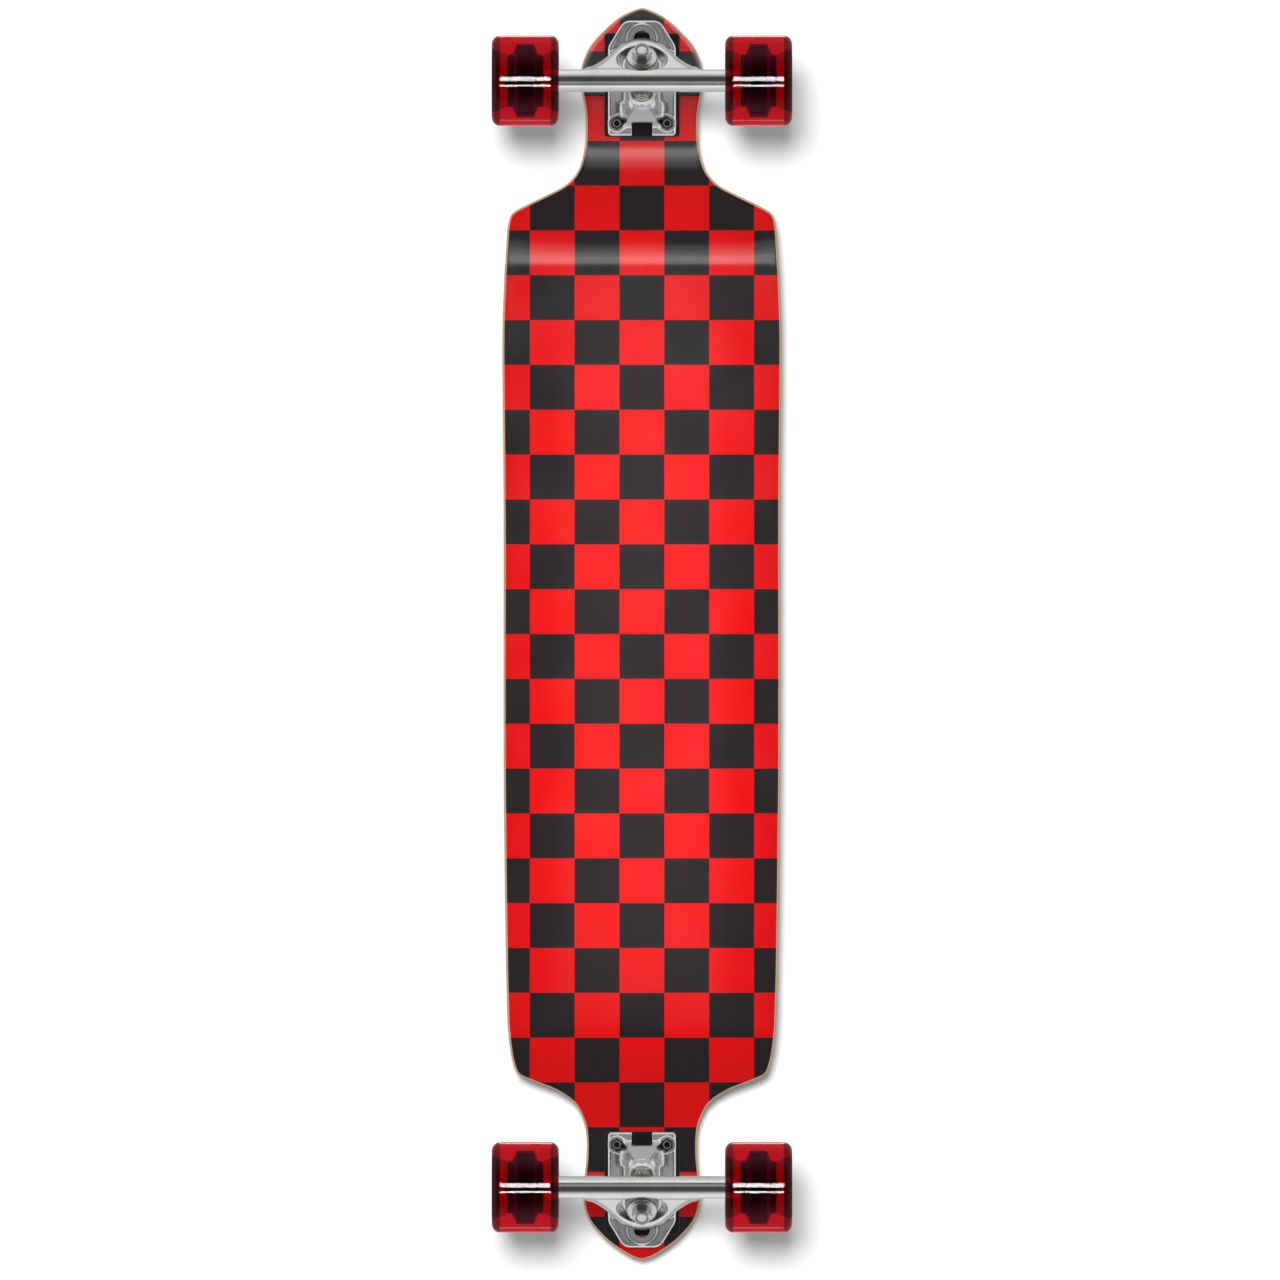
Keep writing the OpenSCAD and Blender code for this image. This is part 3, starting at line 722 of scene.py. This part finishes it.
# p holds points one to a row; each field is below zero inside the metal.
def hanger_web(p):
    """The bell-shaped web round the kingpin's ring, with its well and its bushing recesses."""
    u, v, w = p[:, 0], np.abs(p[:, 1]), p[:, 2]
    s, t = ring_coordinates(p)
    radius = np.sqrt(s * s + v * v)
    bell = spline([(-14, 48.4)] + BELL_HALF, 3)
    outline = np.concatenate([bell, bell[::-1] * (1, -1)])
    edge = outline_distance(u, p[:, 1], outline)
    # The road face runs from the ring's rim to the outside of the axle housing.
    face = beside_line(u, w, beside_ring(33, RING_HALF), np.array([8, axle_h - 4.4]))
    behind = beside_line(u, w, np.array([-3, axle_h]), beside_ring(-17.5, -RING_HALF))
    web = soft_max(edge, face, 0.6)
    web = soft_max(web, (edge + face * 1.2 + 2.4) * 0.64, 0.8)
    web = soft_max(web, (s - 30 - 0.3 * (t + RING_HALF)) * 0.96, 1.0)
    web = soft_max(web, axle_h - 5 - w, 0.5)
    web = soft_max(web, -RING_HALF - t, 1.5)
    web = soft_max(web, behind, 1.5)
    web = soft_max(web, ((v - 15) * 29.5 - (t + RING_HALF) * 35) / 45.8, 2.0)
    well = (radius - 16.0 - 0.4 * (t - RING_HALF)) * 0.93
    web = soft_max(web, -soft_max(well, RING_HALF - t, 0.3), 1.0)
    for end in (1, -1):
        recess = soft_max(radius - 14, RING_HALF - SEAT_DEPTH - end * t, 0.2)
        web = soft_max(web, -recess, 0.3)
    web = soft_max(web, 8 - radius, 0.5)
    return soft_max(web, BOSS_R + 1 - np.linalg.norm(p - pivot_at, axis=1), 1.0)


def hanger_field(p):
    """The hanger: its web, the axle's housing, and the neck and ball that sit in the pivot cup."""
    u, v, w = p[:, 0], np.abs(p[:, 1]), p[:, 2]
    housing = np.sqrt(u * u + (w - axle_h) ** 2)
    tube = soft_max(housing - 9.25, v - hanger_half, 1.2)
    body = soft_min(hanger_web(p), tube, 1.6)
    height, off = along(p, pivot_at, neck_dir)
    cone = off - np.clip(3.4 + (height - 4) * 0.77, 3.4, 8.0)
    neck = soft_max(soft_max(cone, -height, 0.5), height - 12, 1)
    body = soft_min(body, neck, 1.2)
    ball = np.linalg.norm(p - pivot_at, axis=1) - (PIVOT_R - 0.12)
    body = soft_min(body, ball, 0.4)
    return soft_max(body, 4.0 - housing, 0.4)


def plate_outline():
    def arc(x, y, r, start, end):
        a = np.radians(np.linspace(start, end, 10))
        return np.stack([x + r * np.cos(a), y + r * np.sin(a)], -1)

    half = np.concatenate([
        arc(PLATE_X[1] - 9.5, 9.5, 9.5, 0, 57), arc(25.5, PLATE_HALF - 14, 14, 52, 90),
        arc(PLATE_X[0] + 3, PLATE_HALF - 3, 3, 90, 180),
    ])
    return np.concatenate([half, half[::-1] * (1, -1)])


def from_bolts(u, v):
    return [np.sqrt((u - x) ** 2 + (v - BOLT_Y) ** 2) for x in BOLT_X]


def plate_slab(p):
    """The flat slab with a bevelled edge, a shallow dished field, and raised collars at its holes."""
    u, v, w = p[:, 0], np.abs(p[:, 1]), p[:, 2]
    edge = outline_distance(u, p[:, 1], plate_outline())
    height = -PLATE_T - w
    plate = soft_max(soft_max(edge, height, 0.4), w, 0.3)
    plate = soft_max(plate, (edge + height + 1.5) * 0.7071, 0.4)
    dish = soft_max(soft_max(edge + 3.6, PLATE_T - 0.9 + w, 0.8), 12 - u, 2.0)
    plate = soft_max(plate, -dish, 2.4)
    for off in from_bolts(u, v):
        plate = soft_min(plate, soft_max(off - 6.6, height - 0.8, 0.6) + np.maximum(w, 0), 2.0)
    collar = np.sqrt((u - PORT_X) ** 2 + v * v)
    return soft_min(plate, soft_max(collar - 12.4, height - 2, 1.0) + np.maximum(w, 0), 1.8)


def plate_seat(p):
    """The sloping block that the boardside bushing stands on."""
    u, v, w = p[:, 0], np.abs(p[:, 1]), p[:, 2]
    seat = outline_distance(u, w, [
        (16, -PLATE_T + 2), beside_ring(15, SEAT_FACE), beside_ring(-14, SEAT_FACE),
        beside_ring(-17, SEAT_FACE - 3), (-18, -PLATE_T + 2),
    ])
    return soft_max(seat, v - 13.5 + 0.15 * (-PLATE_T - w), 2.5)


def plate_column(p):
    """The column that carries the pivot: a fan-shaped inner face between hollow flanks."""
    u, v, w = p[:, 0], np.abs(p[:, 1]), p[:, 2]
    column = outline_distance(u, w, [
        (-36, -PLATE_T + 2), (-33, -24), (-23, -51), (-14, -53), (-14, -44),
        beside_ring(-16.5, SEAT_FACE + 1), (-19, -20), (-19, -PLATE_T + 2),
    ])
    ridge = np.interp(u, [-36, -33, -23, -14], [2, 18, 45, 47])
    fan = np.interp(u, [-36, -31.5, -24.5, -20, -14], [14.5, 12.0, 6.7, 4.4, 5.5])
    depth = np.clip(1 - (-PLATE_T - w) / ridge, 0, 1)
    flank = v - (fan + (17 - fan) * depth ** 1.7)
    return soft_max(column, flank * 0.85, 1.6)


def plate_field(p):
    """The baseplate: slab, seat, column and pivot boss, with every hole cut."""
    u, v, w = p[:, 0], np.abs(p[:, 1]), p[:, 2]
    body = soft_min(plate_slab(p), plate_seat(p), 5.0)
    body = soft_min(body, plate_column(p), 5.0)
    from_pivot = np.linalg.norm(p - pivot_at, axis=1)
    reach, off = along(p, pivot_at, neck_dir)
    collar_boss = soft_max(soft_max(off - BOSS_R + 0.2, reach - CUP_RIM, 1.0), -3.2 - reach, 0.8)
    boss = soft_min(from_pivot - BOSS_R + 0.8, collar_boss, 0.3)
    body = soft_min(body, boss, 1.2)
    rim_cut = soft_max(CUP_RIM - reach, off - 18, 0.2)
    body = soft_max(body, -rim_cut, 0.8)
    body = soft_max(body, CUP_R - from_pivot, 0.3)
    steer_reach, steer_off = along(p, pivot_at, steer_dir)
    body = soft_max(body, -soft_max(steer_off - 1, steer_reach, 0.1), 0.2)
    pin_reach, pin_off = along(p, ring_at, pin_dir)
    body = soft_max(body, KINGPIN_R + 0.1 - pin_off, 0.3)
    body = soft_max(body, -soft_max(pin_off - 8.9, pin_reach + 27, 0.3), 0.3)
    port = np.sqrt((u - PORT_X) ** 2 + v * v)
    body = soft_max(body, -soft_max(port - 6.8, w - 9, 0.2), 0.8)
    for off in from_bolts(u, v):
        body = soft_max(body, BOLT_R + 0.2 - off, 0.3)
    notch = soft_max(v - 8.35, u - PLATE_X[0] - 10.4, 3.0)
    return soft_max(body, -notch, 0.6)


def hex_field(p, across, low, high, hole, chamfer):
    """A hexagon nut along z with bevelled corners."""
    x, y, z = np.abs(p[:, 0]), np.abs(p[:, 1]), p[:, 2]
    flat = np.maximum(x * 0.8660254 + y * 0.5, y) - across / 2
    off = np.sqrt(x * x + y * y)
    middle, half = (low + high) / 2, (high - low) / 2
    nut = soft_max(flat, np.abs(z - middle) - half, 0.25)
    cone = (off - across / 2 - 0.1 + (np.abs(z - middle) - half + chamfer * 0.6)) * 0.7071
    nut = soft_max(nut, cone, 0.2)
    return soft_max(nut, hole - off, 0.25) if hole else nut


def threaded(radius, pitch, low, high, matrix, depth, turns=40, tip=0.8):
    """A rod with a real helical thread and a tapered tip."""
    rows = int((high - low) / pitch * 8) + 1
    z = np.linspace(low, high, rows)
    a = np.arange(turns) * 2 * math.pi / turns
    phase = (z[:, None] / pitch - a[None] / (2 * math.pi)) % 1.0
    r = radius - depth * np.abs(phase * 2 - 1) ** 1.2
    fade = np.clip((high - z) / tip, 0, 1)
    r = np.minimum(r, (radius - tip) + tip * fade[:, None])
    r[0] = radius - depth / 2
    verts, faces = ring_skin(np.stack([r * np.cos(a), r * np.sin(a), np.repeat(z[:, None], turns, 1)], -1))
    return moved(verts, matrix), faces


def make_riser(name, end):
    half_x, half_y = 42.45, 30.8
    size = np.array([half_x, half_y])
    middle = np.array([-2.25, 0])
    corners = [middle + size * corner for corner in ((-1, -1), (1, -1), (1, 1), (-1, 1))]
    outline = rounded(corners, 3, 6)
    rings = []
    for inset, z in ((0.6, 0), (0, 0.6), (0, 2.4), (0.6, 3)):
        rings.append(np.array([(*(middle + (p - middle) * (size - inset) / size), z) for p in outline]))
    verts, faces = ring_skin(rings)
    verts = moved(verts, truck_matrix(end))
    piece = make_piece(f"{name}_riser", verts, faces, ("rubber",), "board", "riser",
                       (f"{name}_riser_pad",), 40)
    hole = BOLT_R + 0.2
    cut_bolt_holes(piece, [(hole, -1), (hole, pad_t + 1)], (end,))


def make_castings(name, end, hanger, plate):
    at = truck_matrix(end)
    for part, mesh, material, body in (
        ("hanger", hanger, "hanger", f"{name}_hanger"), ("baseplate", plate, "plate", "board"),
    ):
        make_piece(f"{name}_{part}_casting", moved(mesh[0], at), mesh[1], (material,), body,
                   "cast_aluminium", (f"{name}_{part}",), 0)


def make_bushings(name, pin):
    inner = KINGPIN_R + 0.1
    seat = RING_HALF - SEAT_DEPTH + 0.05
    barrel = [
        (inner, UNDER_BUSHING_END), (12.7, UNDER_BUSHING_END), (13.8, UNDER_BUSHING_END + 2), (13.2, -12.2),
        (13.8, -seat - 2), (13, -seat), (inner, -seat),
    ]
    cone = [
        (inner, seat), (13, seat), (13.8, seat + 1.6), (13.8, 11.4), (10.4, 14.3),
        (10.4, OVER_BUSHING_END), (inner, OVER_BUSHING_END),
    ]
    for side, shape, profile in (("boardside", "barrel", barrel), ("roadside", "cone", cone)):
        make_turned(f"{name}_{side}_{shape}", rounded(profile, 1.3, 6), pin, "cream", "board",
                    "urethane_cream", f"{name}_{side}_bushing", 60)


def make_washers(name, pin):
    bore, rim = KINGPIN_R + 0.15, 12.25
    cup = rounded([
        (bore, OVER_BUSHING_END), (10.45, OVER_BUSHING_END), (10.5, 14.9), (11.3, 14.6), (rim, 14.6),
        (rim, CUP_TOP - 1.6), (10.6, CUP_TOP), (bore, CUP_TOP),
    ], 0.7, 5)
    flat = rounded([
        (bore, SEAT_FACE), (rim, SEAT_FACE), (rim, UNDER_BUSHING_END), (bore, UNDER_BUSHING_END),
    ], 0.4)
    for shape, profile, side in (("cup", cup, "roadside"), ("flat", flat, "boardside")):
        make_turned(f"{name}_{shape}_washer", profile, pin, "zinc", "board", "zinc_steel",
                    f"{name}_{side}_washer", 50)


def make_nuts(name, size, matrices, material, body, slot, node):
    """Nylon-insert nuts of one size: bevelled hexagons under round collars, and their inserts."""
    across, height, hole, collar = size
    half, top = across / 2 * 1.16 + 0.5, height + collar

    def field(p):
        hexagon = hex_field(p, across, 0, height, hole, 1.0)
        off = np.sqrt(p[:, 0] ** 2 + p[:, 1] ** 2)
        crown = soft_max(off - across / 2 * 0.88, np.abs(p[:, 2] - top / 2) - top / 2, 0.6)
        crown = soft_max(crown, hole + 0.9 - off, 0.3)
        return soft_min(hexagon, crown, 0.5)

    verts, faces = sculpt(field, (-half, -half, -0.5), (half, half, top + 0.5), 0.32)
    steels = joined([(moved(verts, at), faces) for at in matrices])
    low, high = height - 0.6, top - 0.5
    ring = rounded([(hole, low), (hole + 1.1, low), (hole + 1.1, high), (hole, high)], 0.25)
    nylons = joined([lathe(ring, at, 48) for at in matrices])
    make_piece(f"{name}_steel", *steels, (material,), body, slot, (node,), 0)
    make_piece(f"{name}_insert", *nylons, ("nylon",), body, slot, (), 40)


def make_kingpin(name, pin):
    top = [pin @ Matrix.Translation((0, 0, CUP_TOP))]
    make_nuts(f"{name}_kingpin_nut", (14.3, 6.5, KINGPIN_R, 2.0), top, "zinc", "board", "zinc_steel",
              f"{name}_kingpin_nut")
    shank = threaded(KINGPIN_R, 1.06, -27.5, KINGPIN_END, pin, 0.5)
    head = sculpt(lambda p: hex_field(p, 14.3, -33.4, -27, 0, 1.0), (-9, -9, -34), (9, 9, -26.5), 0.4)
    bolt = joined([shank, (moved(head[0], pin), head[1])])
    make_piece(f"{name}_kingpin_bolt", *bolt, ("zinc",), "board", "zinc_steel", (f"{name}_kingpin",), 30)


def make_pivot_urethane(name, end):
    """The cup that holds the hanger's ball: two arcs from the rim down to the axis, turned."""
    at = truck_matrix(end) @ axis_matrix(pivot_at, neck_dir)
    rim_in = math.sqrt((PIVOT_R + 0.05) ** 2 - CUP_RIM ** 2)
    rim_out = math.sqrt(CUP_R ** 2 - CUP_RIM ** 2)
    arcs = []
    for r, rim, order in ((PIVOT_R + 0.05, rim_in, 1), (CUP_R - 0.05, rim_out, -1)):
        a = np.linspace(math.atan2(CUP_RIM, rim), -math.pi / 2 + 0.02, 14)[::order]
        arcs += [(r * math.cos(k), r * math.sin(k)) for k in a]
    make_turned(f"{name}_pivot_urethane", arcs, at, "cream", "board", "urethane_cream",
                f"{name}_pivot_cup", 60, 72)


def make_bolt_nuts(name, end):
    down = [at @ Matrix.Rotation(math.pi, 4, "X") for at in bolt_places(end, PLATE_T + 0.8)]
    make_nuts(f"{name}_bolt_nuts", (9.5, 4.2, BOLT_R, 1.6), down, "black", "board", "black_steel",
              f"{name}_mounting_nuts")


def make_axle(name, end):
    """A plain rod through the hanger with a threaded tip and a nut on each side."""
    at = truck_matrix(end)
    middle = at @ Matrix.Translation((0, 0, axle_h))
    nuts = []
    tips = []
    for side in (1, -1):
        turn = Matrix.Rotation(-side * math.pi / 2, 4, "X")
        nuts.append(at @ Matrix.Translation((0, side * (wheel_y + 13), axle_h)) @ turn)
        tips.append(threaded(3.97, 1.25, wheel_y + 5.5, wheel_y + 22.2, middle @ turn, 0.675))
    make_nuts(f"{name}_axle_nuts", (13, 6, 3.97, 1.8), nuts, "zinc", f"{name}_hanger", "zinc_steel",
              f"{name}_axle_nuts")
    shaft = [(3.93, -(wheel_y + 6)), (3.93, wheel_y + 6)]
    rod = joined([lathe_solid(shaft, at @ axis_matrix(axle_at, (0, 1, 0)))] + tips)
    make_piece(f"{name}_axle_rod", *rod, ("zinc",), f"{name}_hanger", "zinc_steel", (f"{name}_axle",), 30)


def make_truck(name, end, hanger, plate):
    pin = truck_matrix(end) @ axis_matrix(ring_at, pin_dir)
    make_castings(name, end, hanger, plate)
    make_riser(name, end)
    make_bushings(name, pin)
    make_washers(name, pin)
    make_kingpin(name, pin)
    make_pivot_urethane(name, end)
    make_bolt_nuts(name, end)
    make_axle(name, end)


# ---- Wheels ----
# The core's half width and radius, and the ridge round it: half width at foot and crown, and radius
CORE_HALF = 14.45
CORE_R = 21.2
RIDGE_FOOT = 10.6
RIDGE_CROWN = 6.7
RIDGE_R = 29.6


def mirrored(side):
    """The lower half of a profile, given its upper half."""
    return [(r, -z) for r, z in side][::-1]


def make_tyre(name, body, at):
    angles = np.radians(np.linspace(0, 90, 14))
    lip = [(wheel_r - LIP_R + LIP_R * math.sin(a), tyre_half - LIP_R + LIP_R * math.cos(a)) for a in angles]
    side = [(CORE_R, CORE_HALF), (22.4, 16.5), (24.2, 20.5), (26.4, tyre_half - 0.8), (27.6, tyre_half)]
    outside = side + lip
    inside = [(CORE_R, -RIDGE_FOOT), (RIDGE_R, -RIDGE_CROWN), (RIDGE_R, RIDGE_CROWN), (CORE_R, RIDGE_FOOT)]
    make_turned(f"{name}_tread", outside + mirrored(outside) + inside, at, "red", body, "red_urethane",
                f"{name}_tyre", 30, 160)


def make_hub(name, body, at):
    """The core: a ridge that grips the tyre, dished faces, and a seat on each side for a bearing."""
    skin = 0.12
    bearing_in, seat, flange = 5.0, 11.0, 9.6
    hub = [
        (seat, CORE_HALF - 0.6), (seat + 0.6, CORE_HALF), (14.2, CORE_HALF), (14.8, CORE_HALF - 1.2),
        (18.2, CORE_HALF - 1.2), (18.8, CORE_HALF), (CORE_R - 0.5, CORE_HALF),
        (CORE_R + skin, CORE_HALF - 0.6), (CORE_R + skin, RIDGE_FOOT + skin),
        (RIDGE_R + skin, RIDGE_CROWN + skin),
    ]
    bore = [(seat, -bearing_in), (flange, -bearing_in), (flange, bearing_in), (seat, bearing_in)]
    make_turned(f"{name}_hub", hub + mirrored(hub) + bore, at, "core", body, "black_core",
                f"{name}_core", 30, 120)


def make_seals(name, body, at):
    """The rubber shields, with a raised lip at each rim: radius and height over the bearing's face."""
    section = [
        (6.3, 0), (6.3, 0.3), (7.2, 0.35), (7.5, 0.15), (8.6, 0.15), (8.9, 0.35), (9.6, 0.3), (9.6, 0),
    ]
    parts = []
    for middle in (-8.5, 8.5):
        for face in (-1, 1):
            profile = [(r, middle + face * 3 + face * h) for r, h in section]
            parts.append(lathe(rounded(profile, 0.08, 3), at, 72))
    make_piece(f"{name}_seals", *joined(parts), ("shield",), body, "red_shield", (f"{name}_shields",), 40)


def make_wheel(end_name, end, side_name, side):
    """One wheel's tyre, hub and bearing shields; its other bearing parts keep their CAD shape."""
    name = f"{end_name}_{side_name}"
    at = wheel_matrix(end, side)
    for make in (make_tyre, make_hub, make_seals):
        make(name, f"{name}_wheel", at)


# ---- The rest keeps its CAD shape and gets a real finish ----
def finish_cad_nodes():
    kinds = {
        "mounting_bolts": "black", "speed_rings": "zinc", "bearing_inner_rings": "steel",
        "bearing_spacers": "zinc", "outer_rings": "steel", "balls": "steel", "cages": "core",
    }
    for node, obj in frame["nodes"].items():
        for kind, key in kinds.items():
            if node.endswith(kind):
                for spot in obj.material_slots:
                    spot.material = MATERIALS[key]


# ---- Stage: a floor seen from above and a page seen from below, both only by the camera ----
def stage_material(name):
    """Matt white from the front, clear from the back."""
    material, tree, shader, _ = start_material(name)
    shader.inputs["Base Color"].default_value = (0.93, 0.93, 0.93, 1)
    shader.inputs["Roughness"].default_value = 0.9
    shader.inputs["Specular IOR Level"].default_value = 0.0
    clear = tree.nodes.new("ShaderNodeBsdfTransparent")
    mix = tree.nodes.new("ShaderNodeMixShader")
    tree.links.new(tree.nodes.new("ShaderNodeNewGeometry").outputs["Backfacing"], mix.inputs[0])
    tree.links.new(shader.outputs[0], mix.inputs[1])
    tree.links.new(clear.outputs[0], mix.inputs[2])
    tree.links.new(mix.outputs[0], tree.nodes["Material Output"].inputs["Surface"])
    return material


def stage_sheet(name, z, seen_from_above, size):
    half = size / 2
    order = ((-half, -half), (half, -half), (half, half), (-half, half))
    if not seen_from_above:
        order = order[::-1]
    mesh = bpy.data.meshes.new(name)
    mesh.from_pydata([(x, y, z) for x, y in order], [], [(0, 1, 2, 3)])
    mesh.materials.append(stage_material(name))
    sheet = placed(name, mesh)
    sheet.visible_diffuse = sheet.visible_glossy = sheet.visible_transmission = False
    sheet.visible_shadow = False
    return sheet


def pieces_on(*endings):
    return [o for o in bpy.data.objects if o.type == "MESH" and o.name.endswith(endings)]


def light_only(lamp, receivers):
    group = bpy.data.collections.new(lamp.name + "_lit")
    for piece in receivers:
        group.objects.link(piece)
    lamp.light_linking.receiver_collection = group


def add_sun(name, toward, power, angle):
    """A soft sun that gives no highlights."""
    lamp = bpy.data.lights.new(name, "SUN")
    lamp.energy, lamp.angle = power, math.radians(angle)
    obj = placed(name, lamp)
    obj.rotation_mode = "QUATERNION"
    obj.rotation_quaternion = Vector(toward).to_track_quat("Z", "Y")
    obj.visible_glossy = False
    return obj


def add_area(name, length, width, radiance, matrix, receivers):
    """A rectangular lamp of a given radiance that lights only some pieces."""
    lamp = bpy.data.lights.new(name, "AREA")
    lamp.shape = "RECTANGLE"
    lamp.size, lamp.size_y = length, width
    lamp.energy = radiance * math.pi * lamp.size * lamp.size_y
    obj = placed(name, lamp)
    obj.matrix_world = matrix
    obj.visible_camera = False
    light_only(obj, receivers)
    return obj


def add_strip(name, receivers, middle, low, high, radiance, length, distance=20.0):
    """A strip light across the board, between two angles from straight down towards the nose."""
    angle, half = math.radians((low + high) / 2), math.radians(abs(high - low) / 2)
    away = Vector((math.sin(angle), 0, -math.cos(angle)))
    facing = Matrix(((0, away.z, away.x, 0), (1, 0, 0, 0), (0, -away.x, away.z, 0), (0, 0, 0, 1)))
    place = Matrix.Translation(Vector(middle) + away * distance) @ facing
    add_area(name, length, 2 * distance * math.tan(half), radiance, place, receivers)


# Strip lights: low angle, high angle, radiance. They make the lines and bands of gloss on the pieces.
TREAD_LINES = ((-0.6, 10, 115), (-14.6, -9.9, 115), (150, 157, 8), (-128, -122, 4))
CASTING_BANDS = ((-31, -9, 0.32), (-68, -50, 0.5), (88, 130, 0.3))
PLATE_FACE = (-8, 8, 0.36)
DECK_GLARE = (-27, 27, 0.14)
BEND_LINES = ((2.5, 19, 0.5), (3, 14, 0.6), (3.5, 10, 1.1))
BEND_AT = 0.35


def add_strips():
    tyres = pieces_on("_tread")
    for k, line in enumerate(TREAD_LINES):
        add_strip(f"tread_line_{k}", tyres, (0, 0, wheel_r * MM), *line, 4)
    for name, end in ENDS:
        metal = pieces_on(f"{name}_hanger_casting", f"{name}_baseplate_casting")
        place = (end * wheel_base / 2 * MM, 0, wheel_r * MM)
        for k, (low, high, radiance) in enumerate(CASTING_BANDS):
            add_strip(f"{name}_band_{k}", metal, place, end * low, end * high, radiance, 30)
        add_strip(f"{name}_plate_face", pieces_on(f"{name}_baseplate_casting"), place, *PLATE_FACE, 6)
    deck = pieces_on("deck_body")
    add_strip("deck_glare", deck, (0, 0, deck_low.z), *DECK_GLARE, 0.13, 0.6)
    for k, line in enumerate(BEND_LINES):
        add_strip(f"bend_line_{k}", deck, (BEND_AT, 0, deck_low.z), *line, 32)


def add_softbox():
    """A box light close under the deck, which lifts its flat middle over its ends."""
    middle, length, width, below, radiance = -0.011, 0.62, 0.16, 0.12, 1.02
    place = Matrix.Translation((middle, 0, deck_low.z - below)) @ Matrix.Rotation(math.pi, 4, "X")
    box = add_area("deck_softbox", length, width, radiance, place, pieces_on("deck_body"))
    box.visible_glossy = False


def switched(tree, level, switch, value):
    """A brightness that changes to another value where a switch is on."""
    kept = calc(tree, "MULTIPLY", level, calc(tree, "SUBTRACT", 1.0, switch))
    return calc(tree, "ADD", kept, calc(tree, "MULTIPLY", switch, value))


# Angle from straight down, along the board, and the sky's brightness there
SKY_BANDS = ((0, 0.07), (38, 0.09), (58, 0.60), (74, 1.0), (90, 0.9), (140, 0.50), (180, 0.7))
SKY_BY_RAY = (("Is Diffuse Ray", 0.33), ("Is Transmission Ray", 0.9), ("Is Camera Ray", 1.0))


def add_world():
    """A pale studio, darker straight below, so that gloss shows soft bands of light and shade."""
    world = bpy.data.worlds.new("studio")
    bpy.context.scene.world = world
    world.use_nodes = True
    tree = world.node_tree
    background = tree.nodes["Background"]
    way = tree.nodes.new("ShaderNodeTexCoord").outputs["Generated"]
    x, y, z = separated(tree, way)
    angle = calc(tree, "ARCTAN2", calc(tree, "ABSOLUTE", x), calc(tree, "MULTIPLY", z, -1.0))
    sky = tree.nodes.new("ShaderNodeValToRGB")
    tree.links.new(ranged(tree, angle, 0, math.pi, 0, 1), sky.inputs[0])
    stops = sky.color_ramp.elements
    while len(stops) < len(SKY_BANDS):
        stops.new(0.5)
    for stop, (degrees, value) in zip(stops, SKY_BANDS):
        stop.position = degrees / 180
        stop.color = (value, value, value, 1)
    beside = ranged(tree, calc(tree, "ABSOLUTE", y), 0.62, 0.9, 0, 1)
    level = switched(tree, sky.outputs["Color"], beside, 1.0)
    rays = tree.nodes.new("ShaderNodeLightPath")
    for ray, value in SKY_BY_RAY:
        level = switched(tree, level, rays.outputs[ray], value)
    tree.links.new(level, background.inputs["Strength"])
    background.inputs["Color"].default_value = (1, 1, 1, 1)


def add_camera():
    """Straight up at the underside, nose at the top, from so far that lines stay nearly parallel."""
    camera = bpy.data.cameras.new("camera")
    distance, frame_width = 25.0, 1.0501
    aim_x, aim_y = -0.0049, -0.0016
    camera.sensor_width = 36
    camera.lens = camera.sensor_width * (distance + deck_low.z) / frame_width
    camera.clip_start, camera.clip_end = 0.1, 100
    obj = placed("camera", camera)
    obj.matrix_world = Matrix(((0, 1, 0, aim_x), (1, 0, 0, aim_y), (0, 0, -1, -distance), (0, 0, 0, 1)))
    bpy.context.scene.camera = obj


def limit_light():
    """Thin or clear pieces don't mirror or tint their neighbours."""
    for piece in pieces_on("grip_sheet", "_roadside_cone"):
        piece.visible_glossy = False
    for piece in pieces_on("_tread", "deck_body"):
        piece.visible_diffuse = piece.visible_glossy = False


add_camera()
add_world()
BELOW = (0.26, -0.11, -0.96)
add_sun("key_from_below", BELOW, 0.52, 22)
page_key = add_sun("page_key", BELOW, 2.5, 22)
add_sun("key_from_above", (0.35, -0.45, 1.0), 1.9, 16)
stage_sheet("floor", 0.0, True, 40)
page = stage_sheet("page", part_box("grip_tape")[1].z + 0.003, False, 40)
light_only(page_key, [page])
make_deck()
make_grip()
hanger = sculpt(hanger_field, *HANGER_SPACE)
plate = sculpt(plate_field, *PLATE_SPACE)
for end_name, end in ENDS:
    make_truck(end_name, end, hanger, plate)
    for side_name, side in SIDES:
        make_wheel(end_name, end, side_name, side)
finish_cad_nodes()
add_strips()
add_softbox()
limit_light()
bpy.context.scene.view_settings.view_transform = "Standard"
